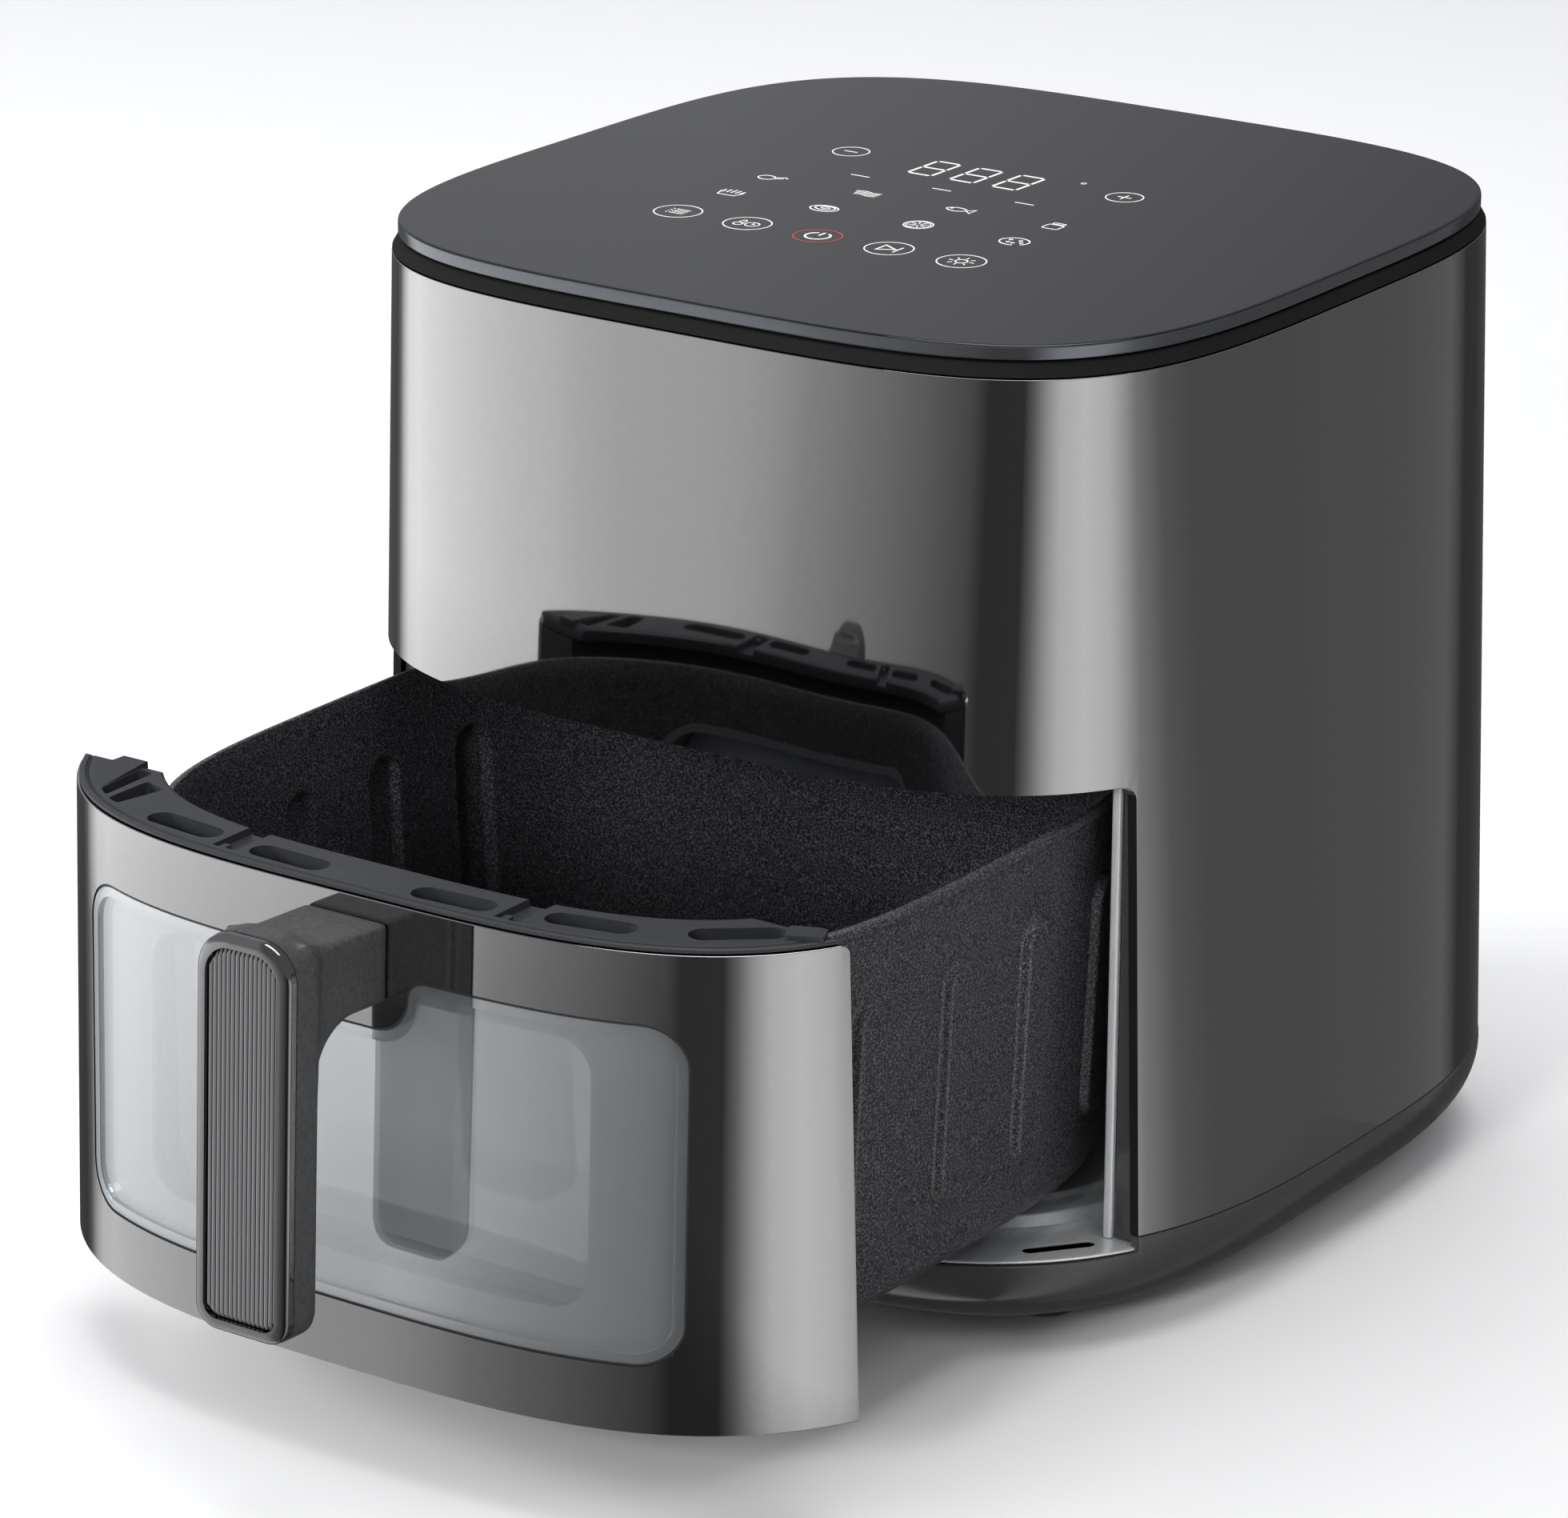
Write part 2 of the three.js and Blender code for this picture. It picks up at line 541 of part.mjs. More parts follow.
const windowPrism = (margin) => prismY(windowShape(margin), -200, -100, 3);

function tunnelPrism(margin, y0, y1) {
  const { halfWidth, bottom, top, radius } = TUNNEL;
  const half = halfWidth + margin;
  return prismY(roundedRect(-half, half, bottom - margin, top + margin, radius + margin), y0, y1, 3);
}

const leanOfFront = Math.atan((SEAM_LOOP.front - TOP_LOOP.front) / (SHELL_TOP - SEAM));

function handlePlacement() {
  const place = new THREE.Matrix4().makeRotationX(-leanOfFront);
  return place.setPosition(0, shellFront(HANDLE_Z), HANDLE_Z);
}

// Screw holes and screws run square to the drawer front, through the middle of the stem.
function handleBore(radius, y0, y1, x, sides = 12) {
  const geometry = new THREE.CylinderGeometry(radius, radius, y1 - y0, sides).translate(x, (y0 + y1) / 2, 0);
  return toSolid(geometry.applyMatrix4(handlePlacement()));
}

function drawerFront() {
  const front = openingTool(0.5, PANEL_BOTTOM, PANEL_TOP, 3);
  const skin = band(PANEL_BOTTOM, PANEL_TOP, 0, WALL + 0.1).intersect(front);
  return without(skin, windowPrism(0), handleBore(2.9, -5, 10, -SCREW_X), handleBore(2.9, -5, 10, SCREW_X));
}

function drawerInnerFrame() {
  const [low, high] = [PANEL_BOTTOM + 1.4, COLLAR_TOP - 4.9];
  const block = band(low, high, WALL + 0.5, FRAME_BACK_INSET).intersect(openingTool(0.5, low, high, 1));
  const pocket = band(low + 3, high - 3, WALL, POCKET_INSET).intersect(openingTool(6, low + 3, high - 3, 1));
  const slots = COLLAR_SLOTS.map((slot) => collarSlot(slot, high - 5, high + 1));
  return without(block, pocket, tunnelPrism(TUNNEL.wall + GAP, -200, -100), ...slots);
}

function collarSlot([x, depth, degrees], low, high) {
  const half = SLOT_WIDTH / 2;
  const shape = roundedRect(-SLOT_LENGTH / 2, SLOT_LENGTH / 2, -half, half, half - 0.01);
  const turned = extrude(shape, high - low, 2).rotateZ((degrees * Math.PI) / 180);
  return toSolid(turned.translate(x, -depth, low));
}

// Low lugs on the two ends of the collar, which steer the drawer in under the fascia.
function collarLug([x, depth, length, width, degrees]) {
  const shape = roundedRect(-length / 2, length / 2, -width / 2, width / 2, width * 0.35);
  const lug = extrude(shape, LUG_TOP - COLLAR_TOP + 1, 3).rotateZ((degrees * Math.PI) / 180);
  const solid = toSolid(lug.translate(x, -depth, COLLAR_TOP - 1));
  return solid.intersect(openingTool(0.5, COLLAR_TOP - 1, LUG_TOP, 0.8));
}

function collarPocket([x, depth, degrees], low, high) {
  const shape = roundedRect(-9.5, 9.5, -2.6, 2.6, 2);
  const turned = extrude(shape, high - low, 3).rotateZ((degrees * Math.PI) / 180);
  return toSolid(turned.translate(x, -depth, low));
}

function drawerCollar() {
  const low = COLLAR_TOP - 4.6;
  const front = openingTool(0.5, low - 5, COLLAR_TOP, 3.5);
  const seat = band(low, COLLAR_TOP, WALL + 0.5, COLLAR_INSET).intersect(front);
  const lip = band(PANEL_TOP + GAP, COLLAR_TOP, 0.7, COLLAR_INSET).intersect(front);
  const slots = COLLAR_SLOTS.map((slot) => collarSlot(slot, low - 1, COLLAR_TOP + 1));
  const notches = NOTCH_XS.map((x) => box(x - 4.5, x + 4.5, -157, -130, COLLAR_TOP - 2.4, COLLAR_TOP + 1));
  const pockets = POCKETS.map((pocket) => collarPocket(pocket, low - 1, LUG_TOP + 1));
  const lugs = LUGS.map(collarLug);
  const tabs = NOTCH_XS.map((x) => box(x - 3, x - 0.5, -156, -152.5, COLLAR_TOP - 3, COLLAR_TOP - 0.6));
  return union(without(union(seat, lip, ...lugs), ...slots, ...notches, ...pockets), ...tabs);
}

function windowOuter() {
  return band(PANEL_BOTTOM, PANEL_TOP, 0.2, WALL).intersect(windowPrism(GAP));
}

function windowGasket() {
  const surround = windowPrism(-3).subtract(windowPrism(4));
  return band(PANEL_BOTTOM, PANEL_TOP, WALL + 0.5, WALL + 2.5).intersect(surround);
}

// The tunnel ends flush with the inside of the pan, so that the crisper plate can pass it.
function windowTunnel() {
  const tube = tunnelPrism(TUNNEL.wall, TUNNEL.front, TUNNEL.back);
  return without(tube, tunnelPrism(0, TUNNEL.front - 1, TUNNEL.back + 1), panBlock(PAN_SHEET, PAN_SHEET));
}

const windowInner = () => tunnelPrism(-GAP, -INNER_PANE[0], -INNER_PANE[1]);

function panBlock(inset, sink) {
  const rings = [];
  const draftAt = (z) => (PAN_DRAFT * (PAN_RIM - z)) / (PAN_RIM - PAN_BOTTOM);
  const corner = PAN_CORNER - inset;
  const steps = 2;
  for (let i = 0; i <= steps; i++) {
    const angle = (i / steps) * (Math.PI / 2);
    const z = PAN_BOTTOM + sink + corner * (1 - Math.cos(angle));
    rings.push(superellipse(PAN_LOOP, z, inset + draftAt(z) + corner * (1 - Math.sin(angle)), PAN_Y));
  }
  rings.push(superellipse(PAN_LOOP, PAN_RIM + sink, inset, PAN_Y));
  return loft(rings);
}

function panBead() {
  return loft([[-4.5, 0.2], [-3.4, -1.8], [-0.9, -1.8], [0, 0.2]]
    .map(([rise, inset]) => superellipse(PAN_LOOP, PAN_RIM + rise, inset, PAN_Y)));
}

function ribPrisms() {
  const half = RIB_WIDTH / 2;
  return union(...RIB_YS.map((y) =>
    prismX(roundedRect(y - half, y + half, RIB_BOTTOM, RIB_TOP, half - 0.01), -200, 200, 2)));
}

function pan() {
  const outside = union(panBlock(0, 0), panBead(), panBlock(-RIB_HEIGHT, 0).intersect(ribPrisms()));
  return without(outside, panBlock(PAN_SHEET, PAN_SHEET), tunnelPrism(TUNNEL.wall + GAP, -200, -100));
}

const drawerMagnet = () => cylinderY(4, -125, -120, -127, 157);

// ---------------------------------------------------------------- handle
const gripOutline = (margin) => roundedRect(
  -GRIP.width / 2 + margin, GRIP.width / 2 - margin,
  -GRIP.below + margin, GRIP.above - margin, GRIP.radius - margin * 0.8,
);

function stemProfile() {
  const [back, half] = [-(HANDLE_REACH - GRIP.depth), STEM.height / 2];
  const shape = new THREE.Shape();
  shape.moveTo(-GAP, -half);
  shape.lineTo(-GAP, half);
  shape.lineTo(back + 8, half);
  shape.quadraticCurveTo(back + 2, half + 0.5, back - 3, half + 5);
  shape.lineTo(back - 4, half + 5);
  shape.lineTo(back - 4, -half - 24);
  shape.lineTo(back, -half - 24);
  shape.quadraticCurveTo(back + 1, -half - 3, back + 17, -half);
  return shape;
}

function handleBody() {
  const stem = prismX(stemProfile(), -STEM.width / 2, STEM.width / 2, 6);
  const bar = prismY(gripOutline(0), -(HANDLE_REACH - 4.2), -(HANDLE_REACH - GRIP.depth), 6);
  const placed = toSolid(toGeometry(union(stem, bar)).applyMatrix4(handlePlacement()));
  return without(placed, handleBore(2.9, -14, 2, -SCREW_X), handleBore(2.9, -14, 2, SCREW_X));
}

function handleFrame() {
  const hoop = prismY(gripOutline(0), -HANDLE_REACH, -(HANDLE_REACH - 3.9), 6)
    .subtract(prismY(gripOutline(3.9), -HANDLE_REACH - 1, -(HANDLE_REACH - 5), 6));
  return toSolid(toGeometry(hoop).applyMatrix4(handlePlacement()));
}

function handleInsert() {
  const [face, back] = [-(HANDLE_REACH - 0.6), -(HANDLE_REACH - 3.9)];
  const half = GRIP.width / 2 - 4.3;
  const pitch = (2 * half) / GRIP_RIBS;
  const shape = new THREE.Shape();
  shape.moveTo(-half, back);
  for (let i = 0; i < GRIP_RIBS; i++) {
    const x = -half + i * pitch;
    shape.lineTo(x, face + 0.9);
    shape.lineTo(x + pitch * 0.3, face);
    shape.lineTo(x + pitch * 0.7, face);
  }
  shape.lineTo(half, face + 0.9);
  shape.lineTo(half, back);
  const slab = prismZ(shape, -GRIP.below, GRIP.above).intersect(prismY(gripOutline(4.3), -60, -30, 6));
  return toSolid(toGeometry(slab).applyMatrix4(handlePlacement()));
}

function handleBracket() {
  const plate = new THREE.BoxGeometry(30, 2, 22).translate(0, WALL + 2, 0);
  const solid = toSolid(plate.applyMatrix4(handlePlacement()));
  return without(solid, handleBore(2.9, 0, 10, -SCREW_X), handleBore(2.9, 0, 10, SCREW_X));
}

const handleScrew = (x) => union(handleBore(2.5, -12, 7, x), handleBore(4.6, WALL + 3.3, WALL + 6.3, x));

// ---------------------------------------------------------------- crisper plate
const CRISPER_LOW = 57;
const CRISPER_HIGH = 58.6;
const CRISPER_LOOP = { halfWidth: 117, front: 118.5, back: 118.5, sharpFront: 3.7, sharpBack: 3.7 };
const BUMPER_SPOTS = [[-116.2, -10], [116.2, -10], [0, 109.2], [0, -129.2]];

function crisperPlate() {
  const plate = loft([CRISPER_LOW, CRISPER_HIGH].map((z) => superellipse(CRISPER_LOOP, z, 0, PAN_Y)));
  const holes = [];
  const pitch = 38;
  for (let row = -2; row <= 2; row++) {
    for (let column = -2; column <= 2; column++) {
      const isCorner = Math.abs(row) === 2 && Math.abs(column) === 2;
      const isMiddle = row === 0 && column === 0;
      if (!isCorner && !isMiddle) {
        holes.push(cylinder(8, CRISPER_LOW - 1, CRISPER_HIGH + 1, column * pitch, PAN_Y + row * pitch, 6));
      }
    }
  }
  const pins = [-10, 10].map((x) => cylinder(1.9, CRISPER_LOW - 1, CRISPER_HIGH + 1, x, PAN_Y, 8));
  const clips = BUMPER_SPOTS
    .map(([x, y]) => box(x - 5, x + 5, y - 5, y + 5, CRISPER_LOW - 1, CRISPER_HIGH + 1));
  return without(plate, ...holes, ...pins, ...clips);
}

const crisperBumper = ([x, y]) => cylinder(4.7, CRISPER_LOW - 3, CRISPER_HIGH + 2, x, y, 10);

function liftLoop() {
  const half = [[-10, 0], [-10, 14], [-7, 20]];
  const outline = [...half, [0, 22], ...half.map(([x, z]) => [-x, z]).reverse()];
  const bail = new THREE.CatmullRomCurve3(outline
    .map(([x, z]) => new THREE.Vector3(x, PAN_Y, z + CRISPER_LOW - 0.6)));
  const section = new THREE.Shape().absarc(0, 0, 1.5, 0, Math.PI * 2);
  return toSolid(new THREE.ExtrudeGeometry(section, { steps: 12, curveSegments: 3, extrudePath: bail }));
}

// ---------------------------------------------------------------- assembly
function housing() {
  const group = new THREE.Group();
  group.add(
    piece("outer_shell", outerShell(), GUNMETAL),
    piece("base_tray", baseTray(), BLACK_GLOSS),
    piece("top_panel", topPanel(), LID_GLASS),
    piece("lid_carrier", lidCarrier(), BLACK_PLASTIC),
    piece("fascia_rail", fasciaRail(), BLACK_PLASTIC),
    piece("cavity_liner", cavityLiner(), STEEL),
    piece("cavity_floor_plate", cavityFloorPlate(), STEEL),
    piece("heating_element", heatingElement(), HEATER_STEEL),
    piece("heater_guard", heaterGuard(), STEEL),
    piece("fan_motor", fanMotor(), MOTOR_STEEL),
    piece("motor_bracket", motorBracket(), STEEL),
    piece("control_board", controlBoard(), CIRCUIT),
    piece("display_module", displayModule(), BLACK_PLASTIC),
    piece("power_board", powerBoard(), CIRCUIT),
    piece("temperature_sensor", temperatureSensor(), STEEL),
    piece("drawer_switch", drawerSwitch(), BLACK_PLASTIC),
    piece("rear_vent_cover", rearVentCover(), BLACK_PLASTIC),
    piece("cord_gland", cordGland(), RUBBER),
  );
  for (const number of [1, 2, 3]) group.add(piece(`element_clip_${number}`, elementClip(number), STEEL));
  for (const [side, word] of [[-1, "left"], [1, "right"]]) {
    group.add(piece(`opening_jamb_${word}`, openingJamb(side), BLACK_PLASTIC));
    group.add(piece(`cavity_edge_${word}`, cavityEdge(side), STEEL));
    for (const [end, place] of [[-1, "front"], [1, "rear"]]) {
      group.add(piece(`foot_${place}_${word}`, foot(side * FOOT_X, end * FOOT_Y), RUBBER));
      const y = BOSS_YS[end < 0 ? 0 : 1];
      group.add(piece(`base_screw_${place}_${word}`, baseScrew(side * BOSS_X, y), STEEL));
    }
  }
  return group;
}

function fanRotor() {
  const group = new THREE.Group();
  group.add(
    piece("convection_fan", fanWheel(CONVECTION_FAN), ALUMINIUM),
    piece("motor_shaft", motorShaft(), STEEL),
    piece("cooling_fan", fanWheel(COOLING_FAN), BLACK_PLASTIC),
  );
  return group;
}

function crisper() {
  const group = new THREE.Group();
  group.add(piece("crisper_plate", crisperPlate(), NONSTICK), piece("lift_loop", liftLoop(), STEEL));
  BUMPER_SPOTS.forEach((spot, i) => group.add(piece(`crisper_bumper_${i + 1}`, crisperBumper(spot), RUBBER)));
  return group;
}

function drawer() {
  const group = new THREE.Group();
  group.add(
    piece("drawer_front", drawerFront(), GUNMETAL),
    piece("drawer_inner_frame", drawerInnerFrame(), BLACK_PLASTIC),
    piece("drawer_collar", drawerCollar(), BLACK_PLASTIC),
    piece("window_outer", windowOuter(), CLEAR),
    piece("window_gasket", windowGasket(), RUBBER),
    piece("window_tunnel", windowTunnel(), BLACK_PLASTIC),
    piece("window_inner", windowInner(), CLEAR),
    piece("pan", pan(), NONSTICK),
    piece("drawer_magnet", drawerMagnet(), STEEL),
    piece("handle_body", handleBody(), GRIP_PLASTIC),
    piece("handle_frame", handleFrame(), DARK_CHROME),
    piece("handle_insert", handleInsert(), GRIP_PLASTIC),
    piece("handle_bracket", handleBracket(), STEEL),
    piece("handle_screw_left", handleScrew(-SCREW_X), STEEL),
    piece("handle_screw_right", handleScrew(SCREW_X), STEEL),
    crisper(),
  );
  group.position.y = -DRAWER_OPEN;
  return group;
}

const airFryer = new THREE.Group();
airFryer.add(housing(), fanRotor(), drawer());
airFryer.position.y = HOUSING_Y;

export default airFryer;
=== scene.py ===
import json
import math

import bpy
import numpy as np
from mathutils import Matrix, Vector


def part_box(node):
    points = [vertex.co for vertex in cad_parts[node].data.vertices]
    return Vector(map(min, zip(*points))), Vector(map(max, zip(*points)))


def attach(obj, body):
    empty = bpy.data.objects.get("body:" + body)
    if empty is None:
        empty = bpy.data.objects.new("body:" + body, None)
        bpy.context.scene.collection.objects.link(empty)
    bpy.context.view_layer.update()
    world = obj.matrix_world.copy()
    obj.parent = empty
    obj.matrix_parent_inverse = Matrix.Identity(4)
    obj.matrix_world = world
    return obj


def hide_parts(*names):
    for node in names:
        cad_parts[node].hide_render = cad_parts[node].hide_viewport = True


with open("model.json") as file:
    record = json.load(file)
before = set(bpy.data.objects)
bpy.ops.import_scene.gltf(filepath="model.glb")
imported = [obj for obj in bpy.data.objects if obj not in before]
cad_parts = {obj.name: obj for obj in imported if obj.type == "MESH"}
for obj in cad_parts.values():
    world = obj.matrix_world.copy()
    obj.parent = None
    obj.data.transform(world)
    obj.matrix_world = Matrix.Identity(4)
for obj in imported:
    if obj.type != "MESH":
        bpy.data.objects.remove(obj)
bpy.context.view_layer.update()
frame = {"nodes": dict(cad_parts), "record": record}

NODES = frame["nodes"]

# ---------------------------------------------------------------- dimensions, in millimetres
LID_TOP, LID_UNDERSIDE, SHELL_TOP = 325.5, 320.6, 315.4
FASCIA_EDGE, COLLAR_TOP, PANEL_TOP = 185.1, 183.2, 181.5
SEAM, PANEL_BOTTOM, FLOOR_TOP = 36.1, 32.6, 32.0
BASE_FRONT_RIM, BASE_UNDERSIDE = 30.7, 4.0
WALL, GAP = 2.5, 0.3
OPENING_Y = -112.5
CAVITY_HALF = 137.5

# half width, front, back, sharpness at the front, sharpness at the back
LID_LOOP = (150.0, 155.0, 147.9, 3.9, 3.8)
TOP_LOOP = (151.7, 156.8, 149.6, 3.9, 3.8)
SEAM_LOOP = (165.2, 170.4, 163.2, 3.07, 3.07)
BASE_LOOP = (165.2, 170.4, 163.2, 3.9, 3.9)
PAN_LOOP = (128.2, 131.2, 131.2, 3.7, 3.7)
CRISPER_LOOP = (117.0, 118.5, 118.5, 3.7, 3.7)
PAN_Y, PAN_RIM, PAN_BOTTOM, PAN_SHEET = -10.0, 173.5, 40.8, 1.4
PAN_DRAFT, PAN_CORNER = 6.0, 12.0
RIB_YS = (-73.2, -29.7, 13.8, 57.3)
RIB_BOTTOM, RIB_TOP, RIB_HALF, RIB_HEIGHT = 66.5, 148.5, 8.0, 2.9
TUNNEL = (82.5, 66.5, 151.5, 12.0, 3.0)          # half width, bottom, top, radius, wall
HANDLE_Z, HANDLE_REACH = 163.5, 49.0
GRIP_WIDTH, GRIP_DEPTH, GRIP_ABOVE, GRIP_BELOW = 34.8, 15.0, 16.6, 106.5
GRIP_TOP_RADIUS, GRIP_FOOT_RADIUS, HOOP = 12.0, 8.0, 3.9
INSERT_HALF, INSERT_RIBS = 13.2, 16
RING = 288                                       # points round a body outline

# x, depth in front of the centre and turn in degrees of the collar's slots; outlines of its pockets and wedge
COLLAR_SLOTS = ((-73.9, 148.2, -6), (-30.2, 152.6, -2), (31, 152.4, 3), (75.4, 145.4, 12), (115, 128, 38))
POCKETS = (((-116.4, -137.4), (-111.3, -141.2), (-112.0, -117.6), (-117.4, -117.6)),
           ((-108.8, -143.1), (-103.6, -145.0), (-99.6, -127.6), (-108.6, -124.4)))
LEFT_WEDGE = ((-117.0, -138.6), (-118.2, -110), (-127.0, -110), (-128.0, -122))
NOTCH_XS, LUG_TOP = (-52.0, 53.3), 184.7

MM = 0.001
lid_low, lid_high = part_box("top_panel")
HOUSING_Y = lid_high.y / MM - LID_LOOP[2]
pan_low, pan_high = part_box("pan")
DRAWER_Y = (pan_low.y + pan_high.y) / 2 / MM - PAN_Y


# ---------------------------------------------------------------- meshes
def new_object(name, vertices, faces, body="housing"):
    """A mesh object from millimetre coordinates in the closed appliance's own frame."""
    offset = DRAWER_Y if body in ("drawer", "crisper") else HOUSING_Y
    points = (np.asarray(vertices, float) + (0.0, offset, 0.0)) * MM
    mesh = bpy.data.meshes.new(name)
    mesh.from_pydata(points.tolist(), [], faces)
    mesh.validate()
    mesh.update()
    made = bpy.data.objects.new(name, mesh)
    bpy.context.scene.collection.objects.link(made)
    return made


def ring_faces(rows, count, closed=False):
    faces = []
    for row in range(rows if closed else rows - 1):
        low, high = row * count, ((row + 1) % rows) * count
        for i in range(count):
            j = (i + 1) % count
            faces.append((low + i, low + j, high + j, high + i))
    return faces


def loft(name, rings, body="housing", closed=False):
    """A solid through rings of points. An open stack is capped; a closed one joins last to first."""
    count = len(rings[0])
    faces = ring_faces(len(rings), count, closed)
    if not closed:
        faces.append(tuple(reversed(range(count))))
        faces.append(tuple(range((len(rings) - 1) * count, len(rings) * count)))
    return new_object(name, np.vstack(rings), faces, body)


def resample(points, count):
    """Points spaced evenly along a closed curve."""
    loop = np.vstack([points, points[:1]])
    steps = np.linalg.norm(np.diff(loop, axis=0), axis=1)
    along = np.concatenate([[0.0], np.cumsum(steps)])
    wanted = np.linspace(0.0, along[-1], count, endpoint=False)
    return np.stack([np.interp(wanted, along, loop[:, k]) for k in range(loop.shape[1])], 1)


TURN = np.linspace(0.0, 2 * math.pi, 4096, endpoint=False)


def superellipse(loop, inset):
    half, front, back, sharp_front, sharp_back = loop
    c, s = np.cos(TURN), np.sin(TURN)
    power = np.where(s < 0, 2 / sharp_front, 2 / sharp_back)
    depth = np.where(s < 0, front, back) - inset
    x = (half - inset) * np.sign(c) * np.abs(c) ** power
    return np.stack([x, depth * np.sign(s) * np.abs(s) ** power], 1)


def at_height(points, z, count=RING):
    even = resample(points, count)
    return np.column_stack([even, np.full(len(even), float(z))])


def loop_ring(loop, z, inset, middle_y=0.0, count=RING):
    return at_height(superellipse(loop, inset) + (0.0, middle_y), z, count)


def shell_ring(z, inset, count=RING):
    mix = (SHELL_TOP - z) / (SHELL_TOP - SEAM)
    points = superellipse(TOP_LOOP, inset) * (1 - mix) + superellipse(SEAM_LOOP, inset) * mix
    return at_height(points, z, count)


def shell_front(z):
    mix = (SHELL_TOP - z) / (SHELL_TOP - SEAM)
    return -(TOP_LOOP[1] + (SEAM_LOOP[1] - TOP_LOOP[1]) * mix)


def rounded_rect(x0, x1, y0, y1, radius, steps=10):
    points = []
    corners = ((x1 - radius, y0 + radius, -90), (x1 - radius, y1 - radius, 0),
               (x0 + radius, y1 - radius, 90), (x0 + radius, y0 + radius, 180))
    for x, y, start in corners:
        for k in range(steps + 1):
            angle = math.radians(start + 90 * k / steps)
            points.append((x + radius * math.cos(angle), y + radius * math.sin(angle)))
    return points


def rounded_polygon(corners, radius, steps=5):
    """A polygon with each corner eased by a short curve."""
    points = []
    for before, corner, after in zip(corners[-1:] + corners[:-1], corners, corners[1:] + corners[:1]):
        starts = []
        for other in (before, after):
            reach = min(radius, math.dist(corner, other) * 0.45) / math.dist(corner, other)
            starts.append(tuple(c + (o - c) * reach for c, o in zip(corner, other)))
        points += [bezier(starts[0], corner, starts[1], k / steps) for k in range(steps + 1)]
    return points


def bezier(a, b, c, t):
    return tuple((1 - t) ** 2 * p + 2 * t * (1 - t) * q + t * t * r for p, q, r in zip(a, b, c))


def prism(points, axis, low, high, name="tool", body="housing"):
    """A prism along X, Y or Z over a counter-clockwise outline in the other two axes."""
    order = {"Z": (0, 1, 2), "Y": (0, 2, 1), "X": (2, 0, 1)}[axis]
    flat = np.asarray(points, float)
    rings = []
    for level in (low, high):
        stacked = np.column_stack([flat, np.full(len(flat), float(level))])
        rings.append(stacked[:, order] if axis != "X" else stacked[:, (2, 0, 1)])
    if axis == "Y":
        rings.reverse()
    return loft(name, rings, body)


def placed(made, matrix):
    """Moves a mesh by a matrix that is given in the frame of the closed appliance."""
    made.data.transform(matrix)
    return made


def bake(made):
    graph = bpy.context.evaluated_depsgraph_get()
    mesh = bpy.data.meshes.new_from_object(made.evaluated_get(graph))
    made.modifiers.clear()
    made.data = mesh
    return made


def combine(made, operation, *tools):
    for tool in tools:
        step = made.modifiers.new("boolean", "BOOLEAN")
        step.object, step.operation, step.solver = tool, operation, "EXACT"
    bake(made)
    for tool in tools:
        bpy.data.objects.remove(tool)
    return made


def soften(made, width=0.5, segments=2, angle=38.0, sharp=50.0):
    """Rounds hard edges and shades the rest smoothly."""
    if width:
        edge = made.modifiers.new("edge", "BEVEL")
        edge.width, edge.segments = width * MM, segments
        edge.limit_method, edge.angle_limit = "ANGLE", math.radians(angle)
        edge.use_clamp_overlap = True
        bake(made)
    mesh = made.data
    mesh.polygons.foreach_set("use_smooth", [True] * len(mesh.polygons))
    mesh.set_sharp_from_angle(angle=math.radians(sharp))
    weigh = made.modifiers.new("weigh", "WEIGHTED_NORMAL")
    weigh.keep_sharp, weigh.weight = True, 60
    return bake(made)


def finish_piece(made, body, slot, *nodes, material=None):
    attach(made, body)
    if nodes:
        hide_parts(*nodes)
    made.data.materials.clear()
    made.data.materials.append(material or MATERIALS[slot])
    return made


# ---------------------------------------------------------------- materials
def principled(name, color, roughness, metallic=0.0, **sockets):
    made = bpy.data.materials.new(name)
    made.use_nodes = True
    shader = made.node_tree.nodes["Principled BSDF"]
    shader.inputs["Base Color"].default_value = (*color, 1.0)
    shader.inputs["Roughness"].default_value = roughness
    shader.inputs["Metallic"].default_value = metallic
    for socket, value in sockets.items():
        shader.inputs[socket.replace("_", " ")].default_value = value
    return made, made.node_tree, shader


def add_node(tree, kind, **inputs):
    node = tree.nodes.new(kind)
    for socket, value in inputs.items():
        node.inputs[socket.replace("_", " ")].default_value = value
    return node


def grain(tree, scale, detail=3.0, stretch=(1, 1, 1), kind="ShaderNodeTexNoise"):
    """A noise value in object space, stretched along the axes."""
    place = tree.nodes.new("ShaderNodeTexCoord")
    spread = add_node(tree, "ShaderNodeMapping", Scale=stretch)
    tree.links.new(place.outputs["Object"], spread.inputs["Vector"])
    noise = add_node(tree, kind, Scale=scale)
    if kind == "ShaderNodeTexNoise":
        noise.inputs["Detail"].default_value = detail
    tree.links.new(spread.outputs["Vector"], noise.inputs["Vector"])
    return noise.outputs[0]


def drive(tree, value, socket, low, high, ends=(0.25, 0.75)):
    spread = add_node(tree, "ShaderNodeMapRange", From_Min=ends[0], From_Max=ends[1], To_Min=low, To_Max=high)
    tree.links.new(value, spread.inputs["Value"])
    tree.links.new(spread.outputs["Result"], socket)


def tint(tree, value, shader, dark, light, ends=(0.3, 0.7)):
    ramp = tree.nodes.new("ShaderNodeValToRGB")
    ramp.color_ramp.elements[0].position, ramp.color_ramp.elements[1].position = ends
    ramp.color_ramp.elements[0].color = (*dark, 1.0)
    ramp.color_ramp.elements[1].color = (*light, 1.0)
    tree.links.new(value, ramp.inputs["Fac"])
    tree.links.new(ramp.outputs["Color"], shader.inputs["Base Color"])


